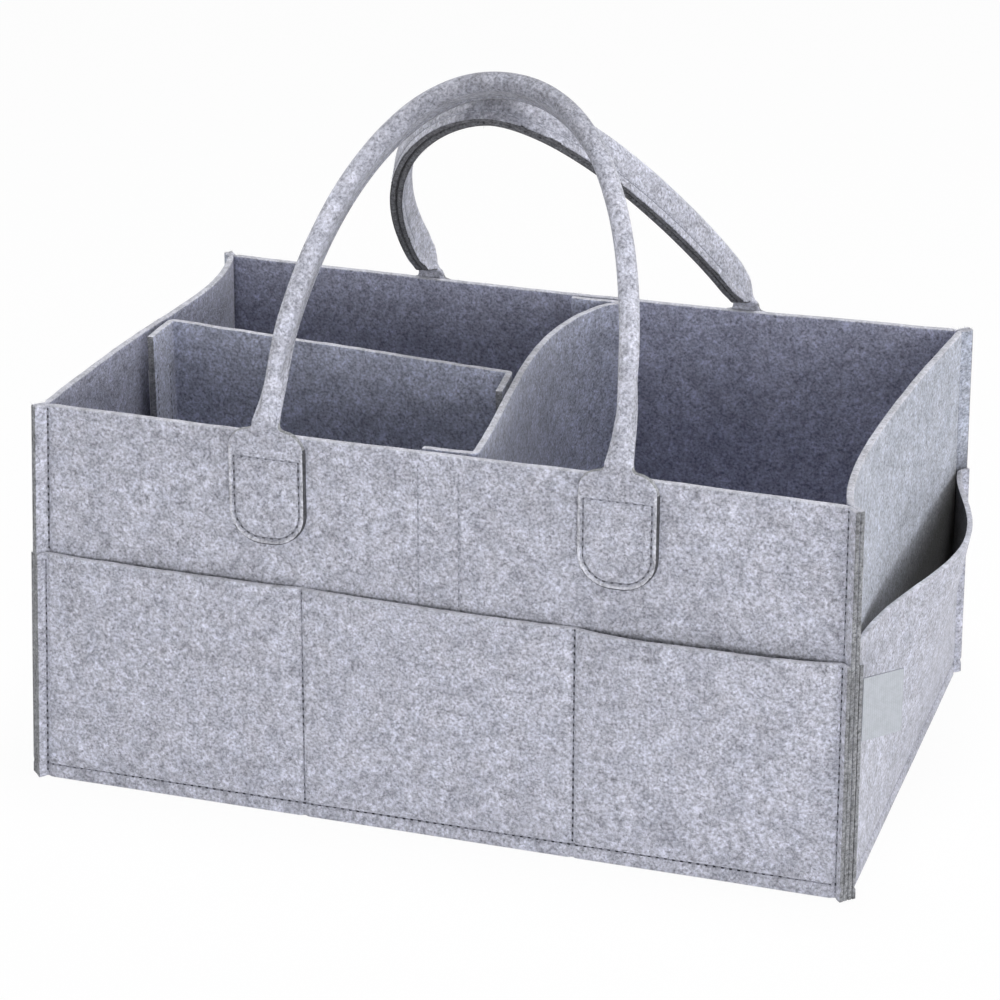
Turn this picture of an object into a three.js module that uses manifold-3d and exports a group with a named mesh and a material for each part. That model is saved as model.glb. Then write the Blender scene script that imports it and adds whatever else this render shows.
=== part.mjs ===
// Felt diaper caddy: an open box of sewn felt panels, with pockets sewn on the outside,
// two removable dividers inside and two carrying handles of folded felt.
// Millimetres, +Z up, +X along the long side, -Y toward the front.
// The origin is the middle of the footprint, on the floor.

import * as THREE from 'three';
import { mergeVertices } from 'three/addons/utils/BufferGeometryUtils.js';
import Module from 'manifold-3d';

const wasm = await Module();
wasm.setup();

// Felt and the fits between sewn layers
const panelFelt = 3;
const pocketFelt = 2.5;
const tabFelt = 3;
const dividerFelt = 3;
const sewnGap = 0.3;

// The box, between the inner faces of its walls at the floor
const insideWidth = 375;
const insideDepth = 232.5;
const wallHeight = 184;
const endLean = 2.5;
const sideLean = 8.2;
const seamWidth = 8;

// How far the walls bow at the rim, and where along the wall the bow is deepest.
// The ends and the back bow in, the front bows out.
const frontBow = 3;
const endBow = 9;
const rightBowPeak = 0.31;
const leftBowPeak = 0.75;
const backBow = 5;
const middle = 0.5;

// The base sheet, raised on its own turned-down edges
const baseRise = 6;
const baseFelt = 3;

// Handles: flat tabs on the long walls, a knuckle at the rim and a folded strap above it
const handleHalfSpan = 81;
const frontHandleShift = 4.5;
const backHandleShift = 1.5;
const handleRise = 167;
const frontArchPower = 2.1;
const backArchPower = 1.75;
const frontArchSway = 1.5;
const backArchSway = 8.7;
const swayTurn = 150;
const strapWidth = 18.5;
const strapFold = 10.6;
const strapEdge = 6;
const strapNeck = 7.8;
const foldLength = 34;
const backHandleLean = 43.5;
const handleRestGap = 2.1;
const knuckleRadius = 3.5;
const knuckleGap = 0.4;
const tabWidth = 36.5;
const tabLength = 54;
const tabRound = 15.5;
const shoulderRound = 10;
const neckFillet = 2.6;
const shoulderRise = 2.5;

// Pockets
const pocketBelowTab = 21;
const longPockets = 3;
const pocketSeamSpacing = 128;
const frontPocketSwell = 6.5;
const backPocketSwell = 10;
const longPocketFlatness = 4;
const endPocketSwell = 19.5;
const endPocketPeak = 0.62;
const endPocketFullness = 1.5;

// Dividers, held by hook tape on their folded flanges
const crossFrontX = 17;
const crossBackX = 21;
const crossBow = 17;
const crossBowPeak = 0.7;
const crossBowFullness = 0.6;
const crossFlange = 24;
const longLeftY = 10;
const longRightY = -8;
const longFlange = 25;
const flangeBend = 4;
const dividerSeat = 0.3;
const tapeThickness = 1.6;
const tapeGrip = 0.3;
const tapeMargin = 2;
const tapeEndMargin = 18;
const slopeProbe = 1;

// Side label, sewn into the front right corner seam
const labelWidth = 21;
const labelHeight = 30;
const labelThickness = 0.8;
const labelGap = 0.3;
const labelTurn = 47;
const labelBelowPocketTop = 7;

// Fineness of the curved sheets
const wallSteps = 20;
const pocketSteps = 8;
const pocketLevels = 4;
const dividerSteps = 24;
const bendSteps = 4;
const archSteps = 44;
const foldSteps = 8;
const knuckleSides = 14;
const cornerSteps = 6;
const weldDistance = 1e-5;

const baseTop = baseRise + baseFelt;
const hingeHeight = wallHeight + shoulderRise + knuckleRadius;
const tabBottom = wallHeight + shoulderRise - tabLength;
const pocketTop = tabBottom - pocketBelowTab;

const felt = { color: '#b0b2bf', roughness: 0.95, metalness: 0 };
const dividerFinish = { color: '#a3a6b2', roughness: 0.95, metalness: 0 };
const tapeFinish = { color: '#d6d7da', roughness: 0.8, metalness: 0 };
const labelFinish = { color: '#e6e7ea', roughness: 0.6, metalness: 0 };

const caddy = new THREE.Group();

// Each named piece is one mesh with its own material
function addPiece(parent, name, geometry, finish) {
  const piece = new THREE.Mesh(geometry, new THREE.MeshStandardMaterial(finish));
  piece.name = name;
  parent.add(piece);
  return piece;
}

function indexedGeometry(points, triangles) {
  const geometry = new THREE.BufferGeometry();
  geometry.setAttribute('position', new THREE.Float32BufferAttribute(points.flat(), 3));
  geometry.setIndex(triangles.flat());
  geometry.computeVertexNormals();
  return geometry;
}

function toSolid(geometry) {
  const bare = geometry.clone();
  bare.deleteAttribute('normal');
  bare.deleteAttribute('uv');
  const merged = mergeVertices(bare, weldDistance);
  return new wasm.Manifold(new wasm.Mesh({
    numProp: 3,
    vertProperties: new Float32Array(merged.attributes.position.array),
    triVerts: new Uint32Array(merged.index.array),
  }));
}

function fromSolid(solid) {
  const mesh = solid.getMesh();
  const geometry = new THREE.BufferGeometry();
  geometry.setAttribute('position', new THREE.Float32BufferAttribute(mesh.vertProperties, 3));
  geometry.setIndex(Array.from(mesh.triVerts));
  geometry.computeVertexNormals();
  return geometry;
}

// A bow along a wall: 0 at both ends and 1 at its peak, which need not be in the middle
function bowShape(t, peak, fullness = 1) {
  const power = Math.log(middle) / Math.log(peak);
  return Math.max(0, Math.sin(Math.PI * t ** power)) ** fullness;
}

// Inner faces of the leaning walls at a height
function insideHalfWidth(z) {
  return insideWidth / 2 - endLean * z / wallHeight;
}

function insideHalfDepth(z) {
  return insideDepth / 2 - sideLean * z / wallHeight;
}

// Bows start above the base sheet, which holds the walls straight
function bowGrowth(z) {
  return Math.max(0, (z - baseTop) / (wallHeight - baseTop));
}

// A wall knows the direction it runs in, the direction it faces, and its bow at a place t from 0 to 1
function makeWall(angle, halfSpan, face, bow) {
  const along = new THREE.Vector2(Math.cos(angle), Math.sin(angle));
  const out = new THREE.Vector2(Math.sin(angle), -Math.cos(angle));
  const place = (u, v) => [u * along.x + v * out.x, u * along.y + v * out.y];
  return { halfSpan, face, place, inward: (t, z) => bow(t) * bowGrowth(z) };
}

const frontWall = makeWall(0, insideHalfWidth, insideHalfDepth, (t) => -frontBow * bowShape(t, middle));
const rightBow = (t) => endBow * bowShape(t, rightBowPeak);
const rightWall = makeWall(Math.PI / 2, insideHalfDepth, insideHalfWidth, rightBow);
const backWall = makeWall(Math.PI, insideHalfWidth, insideHalfDepth, (t) => backBow * bowShape(t, middle));
const leftBow = (t) => endBow * bowShape(1 - t, leftBowPeak);
const leftWall = makeWall(-Math.PI / 2, insideHalfDepth, insideHalfWidth, leftBow);

// Distance of a wall's inner face from the centre, at a place along the wall and a height
function wallFace(wall, u, z) {
  const t = (u / wall.halfSpan(z) + 1) / 2;
  return wall.face(z) - wall.inward(t, z);
}

// Plan line of one face of a sewn layer, from raw edge to raw edge. depth is the face's distance
// outside the wall's inner face. At both corners the layer turns out by 45 degrees into the seam.
function layerLine(wall, z, depth, swell, steps) {
  const corner = wall.halfSpan(z);
  const face = wall.face(z);
  const folded = depth + sewnGap / 2;
  const bend = corner - depth * (Math.SQRT2 - 1) - sewnGap * Math.SQRT1_2;
  const edgeAlong = corner + (seamWidth - folded) * Math.SQRT1_2;
  const edgeOut = face + (seamWidth + folded) * Math.SQRT1_2;
  const line = [[-edgeAlong, edgeOut]];
  for (let i = 0; i <= steps; i++) {
    const t = i / steps;
    line.push([(2 * t - 1) * bend, face + depth + swell(t, z)]);
  }
  line.push([edgeAlong, edgeOut]);
  return line;
}

// A closed sheet between an outer and an inner plan line, lofted through its levels
function loftedSheet(levels) {
  const count = levels[0].outer.length;
  const ring = 2 * count;
  const points = [];
  const triangles = [];
  for (const level of levels) {
    level.outer.forEach(([x, y]) => points.push([x, y, level.z]));
    level.inner.toReversed().forEach(([x, y]) => points.push([x, y, level.z]));
  }
  for (let k = 0; k + 1 < levels.length; k++) {
    for (let i = 0; i < ring; i++) {
      const a = k * ring + i;
      const b = k * ring + (i + 1) % ring;
      triangles.push([a, b, b + ring], [a, b + ring, a + ring]);
    }
  }
  const top = (levels.length - 1) * ring;
  for (let i = 0; i + 1 < count; i++) {
    const outer = [i, i + 1];
    const inner = [ring - 1 - i, ring - 2 - i];
    triangles.push([outer[0], inner[0], inner[1]], [outer[0], inner[1], outer[1]]);
    triangles.push([top + outer[0], top + outer[1], top + inner[1]]);
    triangles.push([top + outer[0], top + inner[1], top + inner[0]]);
  }
  return indexedGeometry(points, triangles);
}

function sewnSheet(wall, heights, depth, thickness, swell, steps) {
  const onWall = ([u, v]) => wall.place(u, v);
  return loftedSheet(heights.map((z) => ({
    z,
    inner: layerLine(wall, z, depth, swell, steps).map(onWall),
    outer: layerLine(wall, z, depth + thickness, swell, steps).map(onWall),
  })));
}

// Walls
function wallPanel(wall) {
  return sewnSheet(wall, [0, baseTop, wallHeight], 0, panelFelt, (t, z) => -wall.inward(t, z), wallSteps);
}

addPiece(caddy, 'front_panel', wallPanel(frontWall), felt);
addPiece(caddy, 'back_panel', wallPanel(backWall), felt);
addPiece(caddy, 'left_end_panel', wallPanel(leftWall), felt);
addPiece(caddy, 'right_end_panel', wallPanel(rightWall), felt);

// Base: a flat sheet whose edges turn down behind the walls
function basePanel() {
  const width = 2 * (insideHalfWidth(baseTop) - sewnGap);
  const depth = 2 * (insideHalfDepth(baseTop) - sewnGap);
  const block = new THREE.BoxGeometry(width, depth, baseTop).translate(0, 0, baseTop / 2);
  const hollow = new THREE.BoxGeometry(width - 2 * baseFelt, depth - 2 * baseFelt, 2 * baseRise);
  return fromSolid(toSolid(block).subtract(toSolid(hollow)));
}

addPiece(caddy, 'base_panel', basePanel(), felt);

// Pockets swell open toward their mouths
const pocketHeights = [0];
for (let i = 0; i <= pocketLevels; i++) {
  pocketHeights.push(baseTop + (pocketTop - baseTop) * i / pocketLevels);
}

function pocketGrowth(z) {
  return Math.max(0, (z - baseTop) / (pocketTop - baseTop));
}

// Each pocket of a long wall swells evenly between its seams
function longPocketShape(t) {
  const place = (2 * t - 1) * insideWidth / 2;
  const seam = pocketSeamSpacing / 2;
  let across = place / seam;
  if (Math.abs(place) > seam) {
    across = 2 * (Math.abs(place) - seam) / (insideWidth / 2 - seam) - 1;
  }
  return 1 - across ** longPocketFlatness;
}

function longPocket(wall, fullest) {
  const swell = (t, z) => fullest * longPocketShape(t) * pocketGrowth(z) - wall.inward(t, z);
  return sewnSheet(wall, pocketHeights, panelFelt + sewnGap, pocketFelt, swell, longPockets * pocketSteps);
}

// An end pocket lies along the bowed wall near the front and stands open toward the back
function endPocketLine(wall, t, z) {
  const fromFront = wall === rightWall ? t : 1 - t;
  const open = bowShape(fromFront, endPocketPeak, endPocketFullness);
  return endPocketSwell * open * pocketGrowth(z) - wall.inward(t, z) * (1 - open);
}

function endPocket(wall) {
  const swell = (t, z) => endPocketLine(wall, t, z);
  return sewnSheet(wall, pocketHeights, panelFelt + sewnGap, pocketFelt, swell, wallSteps);
}

addPiece(caddy, 'front_pocket', longPocket(frontWall, frontPocketSwell), felt);
addPiece(caddy, 'back_pocket', longPocket(backWall, backPocketSwell), felt);
addPiece(caddy, 'left_pocket', endPocket(leftWall), felt);
addPiece(caddy, 'right_pocket', endPocket(rightWall), felt);

// Side label: a tag sewn into the front right corner seam, standing out beside the pocket
function addSideLabel() {
  const top = pocketTop - labelBelowPocketTop;
  const seamFace = panelFelt + sewnGap + pocketFelt + labelGap;
  const [rawEdge] = layerLine(rightWall, top, seamFace, () => 0, 1);
  const stand = new THREE.Group();
  stand.position.set(...rightWall.place(...rawEdge), top);
  stand.rotation.z = THREE.MathUtils.degToRad(labelTurn);
  const tag = new THREE.BoxGeometry(labelWidth, labelThickness, labelHeight);
  tag.translate(labelWidth / 2, labelThickness / 2, -labelHeight / 2);
  caddy.add(stand);
  addPiece(stand, 'side_label', tag, labelFinish);
}

addSideLabel();

// Handle tab: round at the bottom, shouldered at the rim, with a rounded knuckle where the strap starts
function tabOutline() {
  const half = tabWidth / 2;
  const neck = strapFold / 2;
  const shoulder = wallHeight + shoulderRise;
  const round = Math.min(tabRound, half);
  const turn = Math.PI / 2;
  const shoulderArc = Math.min(shoulderRound, half - neck - neckFillet);
  const shape = new THREE.Shape();
  shape.moveTo(half - round, tabBottom);
  shape.absarc(half - round, tabBottom + round, round, -turn, 0);
  shape.lineTo(half, shoulder - shoulderArc);
  shape.absarc(half - shoulderArc, shoulder - shoulderArc, shoulderArc, 0, turn);
  shape.lineTo(neck + neckFillet, shoulder);
  shape.absarc(neck + neckFillet, shoulder + neckFillet, neckFillet, -turn, -2 * turn, true);
  shape.lineTo(neck, hingeHeight);
  shape.lineTo(-neck, hingeHeight);
  shape.absarc(-neck - neckFillet, shoulder + neckFillet, neckFillet, 0, -turn, true);
  shape.lineTo(shoulderArc - half, shoulder);
  shape.absarc(shoulderArc - half, shoulder - shoulderArc, shoulderArc, turn, 2 * turn);
  shape.lineTo(-half, tabBottom + round);
  shape.absarc(round - half, tabBottom + round, round, 2 * turn, 3 * turn);
  return shape;
}

// The tab's middle stands half its felt outside the wall
const tabMiddle = panelFelt + sewnGap + tabFelt / 2;

function handleTab(wall, u) {
  const felted = { depth: tabFelt, bevelEnabled: false, curveSegments: cornerSteps };
  const flat = new THREE.ExtrudeGeometry(tabOutline(), felted);
  flat.rotateX(Math.PI / 2).translate(0, tabFelt / 2, 0);
  const knuckle = new THREE.CylinderGeometry(knuckleRadius, knuckleRadius, strapFold, knuckleSides);
  knuckle.rotateZ(Math.PI / 2).translate(0, 0, hingeHeight);
  const tab = fromSolid(toSolid(flat).add(toSolid(knuckle)));
  const corners = tab.attributes.position;
  for (let i = 0; i < corners.count; i++) {
    const along = u + corners.getX(i);
    const z = corners.getZ(i);
    const outward = wallFace(wall, along, z) + tabMiddle - corners.getY(i);
    const [x, y] = wall.place(along, outward);
    corners.setXY(i, x, y);
  }
  tab.computeVertexNormals();
  return tab;
}

// Sections of the folded strap: a round fold facing out and two raw edges facing in
function strapSection(widthShare) {
  const half = strapWidth / 2;
  const radius = strapFold / 2;
  const section = [];
  for (let i = 0; i <= foldSteps; i++) {
    const angle = Math.PI * i / foldSteps;
    const across = radius * Math.cos(angle);
    section.push([across, widthShare * (radius - half - radius * Math.sin(angle))]);
  }
  section.push([-strapEdge / 2, widthShare * half], [strapEdge / 2, widthShare * half]);
  return section;
}

// The strap is swept along a rounded arch that stands on the two knuckles and sways to one side
function strapArch(power, sway) {
  const start = knuckleRadius + knuckleGap;
  const firstAngle = Math.asin((start / handleRise) ** (power / 2));
  const arch = [];
  for (let i = 0; i <= archSteps; i++) {
    const angle = firstAngle + (Math.PI - 2 * firstAngle) * i / archSteps;
    const side = Math.sign(Math.cos(angle));
    const height = Math.sin(angle) ** (2 / power);
    const drift = sway * Math.sin(THREE.MathUtils.degToRad(swayTurn) * height);
    const x = side * handleHalfSpan * Math.abs(Math.cos(angle)) ** (2 / power) - drift;
    arch.push(new THREE.Vector2(x, handleRise * height));
  }
  const points = [];
  const triangles = [];
  let ring = 0;
  arch.forEach((centre, i) => {
    const before = arch[Math.max(i - 1, 0)];
    const after = arch[Math.min(i + 1, archSteps)];
    const heading = new THREE.Vector2().subVectors(after, before).normalize();
    if (i === 0 || i === archSteps) heading.set(0, i === 0 ? 1 : -1);
    const spread = THREE.MathUtils.smoothstep(centre.y, start, foldLength);
    const share = THREE.MathUtils.lerp(strapNeck / strapWidth, 1, spread);
    const section = strapSection(share);
    ring = section.length;
    for (const [across, inward] of section) {
      points.push([centre.x + across * heading.y, inward, centre.y - across * heading.x]);
    }
  });
  for (let k = 0; k < archSteps; k++) {
    for (let i = 0; i < ring; i++) {
      const a = k * ring + i;
      const b = k * ring + (i + 1) % ring;
      triangles.push([a, b + ring, b], [a, a + ring, b + ring]);
    }
  }
  const last = archSteps * ring;
  for (let i = 1; i + 1 < ring; i++) {
    triangles.push([0, i, i + 1], [last, last + i + 1, last + i]);
  }
  return indexedGeometry(points, triangles);
}

// Hinge line of a handle: through the knuckles of its two tabs
function hingeDistance(wall, shift) {
  const left = wallFace(wall, shift - handleHalfSpan, hingeHeight);
  const right = wallFace(wall, shift + handleHalfSpan, hingeHeight);
  return (left + right) / 2 + tabMiddle;
}

const frontHinge = hingeDistance(frontWall, frontHandleShift);
const backHinge = hingeDistance(backWall, -backHandleShift);
const backLean = THREE.MathUtils.degToRad(backHandleLean);

// The front handle leans in until its raw edges rest on the back handle, which lies under it
function restingLean() {
  const reach = (strapWidth + strapEdge) / 2 + handleRestGap;
  const flat = frontHinge + backHinge - handleRise * Math.sin(backLean);
  const tall = handleRise * Math.cos(backLean);
  return Math.acos(reach / Math.hypot(flat, tall)) - Math.atan2(tall, flat);
}

function addHandle(name, wall, shift, hinge, facing, lean, power, sway) {
  const turned = Math.cos(facing);
  const stand = new THREE.Group();
  stand.position.set(shift, -hinge * turned, hingeHeight);
  stand.rotation.z = facing;
  const swing = new THREE.Group();
  swing.rotation.x = -lean;
  stand.add(swing);
  caddy.add(stand);
  addPiece(swing, `${name}_handle_grip`, strapArch(power, turned * sway), felt);
  for (const [side, x] of [['left', -handleHalfSpan], ['right', handleHalfSpan]]) {
    addPiece(caddy, `${name}_${side}_handle_tab`, handleTab(wall, turned * (shift + x)), felt);
  }
}

addHandle('front', frontWall, frontHandleShift, frontHinge, 0, restingLean(), frontArchPower, frontArchSway);
addHandle('back', backWall, backHandleShift, backHinge, Math.PI, backLean, backArchPower, backArchSway);

// Outline of a sheet of even thickness that follows a plan path
function sheetShape(path, thickness) {
  const sides = [[], []];
  path.forEach((point, i) => {
    const before = path[Math.max(i - 1, 0)];
    const after = path[Math.min(i + 1, path.length - 1)];
    const arriving = new THREE.Vector2().subVectors(point, before).normalize();
    const leaving = new THREE.Vector2().subVectors(after, point).normalize();
    const heading = new THREE.Vector2().addVectors(arriving, leaving).normalize();
    const edge = i === 0 ? leaving : arriving;
    const stretch = thickness / 2 / Math.abs(heading.dot(edge));
    const normal = new THREE.Vector2(-heading.y, heading.x).multiplyScalar(stretch);
    sides[0].push(point.clone().sub(normal));
    sides[1].push(point.clone().add(normal));
  });
  return new THREE.Shape([...sides[0], ...sides[1].toReversed()]);
}

function uprightSheet(path, thickness, bottom, top) {
  const upright = { depth: top - bottom, bevelEnabled: false };
  return new THREE.ExtrudeGeometry(sheetShape(path, thickness), upright).translate(0, 0, bottom);
}

// A quarter bend from a point, starting along one direction and ending along another
function quarterBend(from, first, second) {
  const bend = [];
  for (let i = 1; i <= bendSteps; i++) {
    const angle = Math.PI / 2 * i / bendSteps;
    const point = from.clone().addScaledVector(first, flangeBend * Math.sin(angle));
    bend.push(point.addScaledVector(second, flangeBend * (1 - Math.cos(angle))));
  }
  return bend;
}

const toLeft = new THREE.Vector2(-1, 0);
const toRight = new THREE.Vector2(1, 0);
const toFront = new THREE.Vector2(0, -1);
const toBack = new THREE.Vector2(0, 1);

const dividerBottom = baseTop + dividerSeat;
const tapeBottom = dividerBottom + tapeEndMargin;
const tapeTop = wallHeight - tapeEndMargin;

// From a face that a flange is stuck to, to the middle of its tape and to the middle of its felt
const faceToTape = tapeGrip + tapeThickness / 2;
const faceToFlange = tapeGrip + tapeThickness + sewnGap + dividerFelt / 2;

// Cross divider, from the front wall to the back wall, bowed to the left
const crossFrontY = -wallFace(frontWall, crossFrontX, wallHeight) + faceToFlange;
const crossBackY = backFlangeFace() - faceToFlange;

// The back wall bows in, so its nearest point behind the flange sets the flange's place
function backFlangeFace() {
  const ends = [crossBackX, crossBackX - crossFlange, 0];
  return Math.min(...ends.map((x) => wallFace(backWall, -x, wallHeight)));
}

function crossPoint(y) {
  const from = crossFrontY + flangeBend;
  const t = THREE.MathUtils.clamp((y - from) / (crossBackY - flangeBend - from), 0, 1);
  const straight = THREE.MathUtils.lerp(crossFrontX, crossBackX, t);
  return new THREE.Vector2(straight - crossBow * bowShape(t, crossBowPeak, crossBowFullness), y);
}

function crossPath() {
  const frontStart = new THREE.Vector2(crossFrontX - flangeBend, crossFrontY);
  const path = [new THREE.Vector2(crossFrontX - crossFlange, crossFrontY), frontStart];
  path.push(...quarterBend(frontStart, toRight, toBack));
  const from = crossFrontY + flangeBend;
  const to = crossBackY - flangeBend;
  for (let i = 1; i <= dividerSteps; i++) {
    path.push(crossPoint(from + (to - from) * i / dividerSteps));
  }
  path.push(...quarterBend(path.at(-1), toBack, toLeft));
  path.push(new THREE.Vector2(crossBackX - crossFlange, crossBackY));
  return path;
}

// A flat strip of tape between a flange and the wall behind it
function crossTape(foldX, y) {
  const start = new THREE.Vector2(foldX - crossFlange + tapeMargin, y);
  const end = new THREE.Vector2(foldX - flangeBend - tapeMargin, y);
  return uprightSheet([start, end], tapeThickness, tapeBottom, tapeTop);
}

const crossFrontFace = crossFrontY - faceToFlange;
const crossBackFace = crossBackY + faceToFlange;
const crossSheet = uprightSheet(crossPath(), dividerFelt, dividerBottom, wallHeight);
addPiece(caddy, 'cross_divider', crossSheet, dividerFinish);
addPiece(caddy, 'cross_divider_front_tape', crossTape(crossFrontX, crossFrontFace + faceToTape), tapeFinish);
addPiece(caddy, 'cross_divider_back_tape', crossTape(crossBackX, crossBackFace - faceToTape), tapeFinish);

// Long divider, from the left wall to the cross divider, with both flanges turned to the front
function leftFlangeFace() {
  const ends = [longLeftY, longLeftY - longFlange / 2, longLeftY - longFlange];
  return -Math.min(...ends.map((y) => wallFace(leftWall, -y, wallHeight)));
}

const longLeftX = leftFlangeFace() + faceToFlange;

// A place beside the left face of the cross divider, at a distance from that face
function besideCross(y, distance) {
  const behind = crossPoint(y - slopeProbe);
  const ahead = crossPoint(y + slopeProbe);
  const heading = ahead.sub(behind).normalize();
  const normal = new THREE.Vector2(-heading.y, heading.x);
  return crossPoint(y).addScaledVector(normal, dividerFelt / 2 + distance);
}

function besideCrossRun(from, to, distance) {
  const run = [];
  for (let i = 0; i <= bendSteps; i++) {
    run.push(besideCross(THREE.MathUtils.lerp(from, to, i / bendSteps), distance));
  }
  return run;
}

const longFlangeStart = longRightY - flangeBend;
const longFlangeEnd = longRightY - longFlange;

function longPath() {
  const leftStart = new THREE.Vector2(longLeftX, longLeftY - flangeBend);
  const path = [new THREE.Vector2(longLeftX, longLeftY - longFlange), leftStart];
  path.push(...quarterBend(leftStart, toBack, toRight));
  const flange = besideCrossRun(longFlangeStart, longFlangeEnd, faceToFlange);
  const turn = flange[0].clone().addScaledVector(toLeft, flangeBend);
  turn.addScaledVector(toBack, flangeBend);
  path.push(turn, ...quarterBend(turn, toRight, toFront).slice(0, -1), ...flange);
  return path;
}

function leftTape() {
  const x = longLeftX - faceToFlange + faceToTape;
  const start = new THREE.Vector2(x, longLeftY - longFlange + tapeMargin);
  const end = new THREE.Vector2(x, longLeftY - flangeBend - tapeMargin);
  return uprightSheet([start, end], tapeThickness, tapeBottom, tapeTop);
}

function rightTape() {
  const path = besideCrossRun(longFlangeStart - tapeMargin, longFlangeEnd + tapeMargin, faceToTape);
  return uprightSheet(path, tapeThickness, tapeBottom, tapeTop);
}

const longSheet = uprightSheet(longPath(), dividerFelt, dividerBottom, wallHeight);
addPiece(caddy, 'long_divider', longSheet, dividerFinish);
addPiece(caddy, 'long_divider_left_tape', leftTape(), tapeFinish);
addPiece(caddy, 'long_divider_right_tape', rightTape(), tapeFinish);

export default caddy;
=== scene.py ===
"""Dresses the felt caddy: walls, pockets, folded handles, dividers, hook tape, a tag and thread.

Lengths are millimetres while a piece is shaped and become metres when its mesh is made. The frame
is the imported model's: +X along the long side, -Y to the front, +Z up, the origin under the middle
on the floor.
"""

import logging
import math
import random
from dataclasses import dataclass, replace
from enum import Enum
from functools import reduce
from typing import Callable, Optional, Sequence, Union

import bmesh
import bpy
import numpy as np
from mathutils import Matrix, Vector
from mathutils import noise as smooth_noise


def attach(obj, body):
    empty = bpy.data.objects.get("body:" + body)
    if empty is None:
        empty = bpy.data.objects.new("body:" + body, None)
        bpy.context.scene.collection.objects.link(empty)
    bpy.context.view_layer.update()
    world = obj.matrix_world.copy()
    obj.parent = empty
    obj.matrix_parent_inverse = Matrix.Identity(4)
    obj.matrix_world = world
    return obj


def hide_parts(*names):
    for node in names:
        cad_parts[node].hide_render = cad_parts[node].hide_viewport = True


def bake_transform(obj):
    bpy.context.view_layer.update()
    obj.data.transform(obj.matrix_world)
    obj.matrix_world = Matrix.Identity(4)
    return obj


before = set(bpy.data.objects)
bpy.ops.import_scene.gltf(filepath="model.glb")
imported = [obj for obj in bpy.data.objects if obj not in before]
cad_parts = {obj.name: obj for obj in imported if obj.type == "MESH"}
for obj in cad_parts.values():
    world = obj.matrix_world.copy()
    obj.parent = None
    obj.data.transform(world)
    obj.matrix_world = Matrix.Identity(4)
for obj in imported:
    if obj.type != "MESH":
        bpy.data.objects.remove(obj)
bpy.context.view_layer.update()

LOG = logging.getLogger("caddy")
MM = 0.001
SHARP = math.radians(55.0)
FAR = 1e9
ROOT_HALF = math.sqrt(0.5)
BESIDE_SEAM = (-2.6, -1.7, -1.1, -0.6, 0.0, 0.6, 1.1, 1.7, 2.6)
BESIDE_END = 1.6
LEAST_STEP = 0.35
RIM_FADE = 3.0
CUT_ROUNDING = 0.6
WHITE_RAYS = ("Is Camera Ray", "Is Glossy Ray", "Is Transmission Ray")

Colour = tuple[float, float, float]
Point = tuple[float, float, float]
Dressed = Union[bpy.types.Material, bpy.types.World]
Socket = bpy.types.NodeSocket
Swell = Callable[[np.ndarray, float], np.ndarray]


class Side(Enum):
    """The walls of the box, by the angle in degrees that each is turned from the front."""

    FRONT = 0.0
    RIGHT = 90.0
    BACK = 180.0
    LEFT = -90.0


class Body(Enum):
    """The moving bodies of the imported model."""

    SHELL = "shell"
    FRONT_HANDLE = "front_handle"
    BACK_HANDLE = "back_handle"
    CROSS_DIVIDER = "cross_divider"
    LONG_DIVIDER = "long_divider"


class Slot(Enum):
    """The record's material slots."""

    FELT = "felt"
    DIVIDER = "divider_felt"
    TAPE = "hook_tape"
    LABEL = "label"


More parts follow.
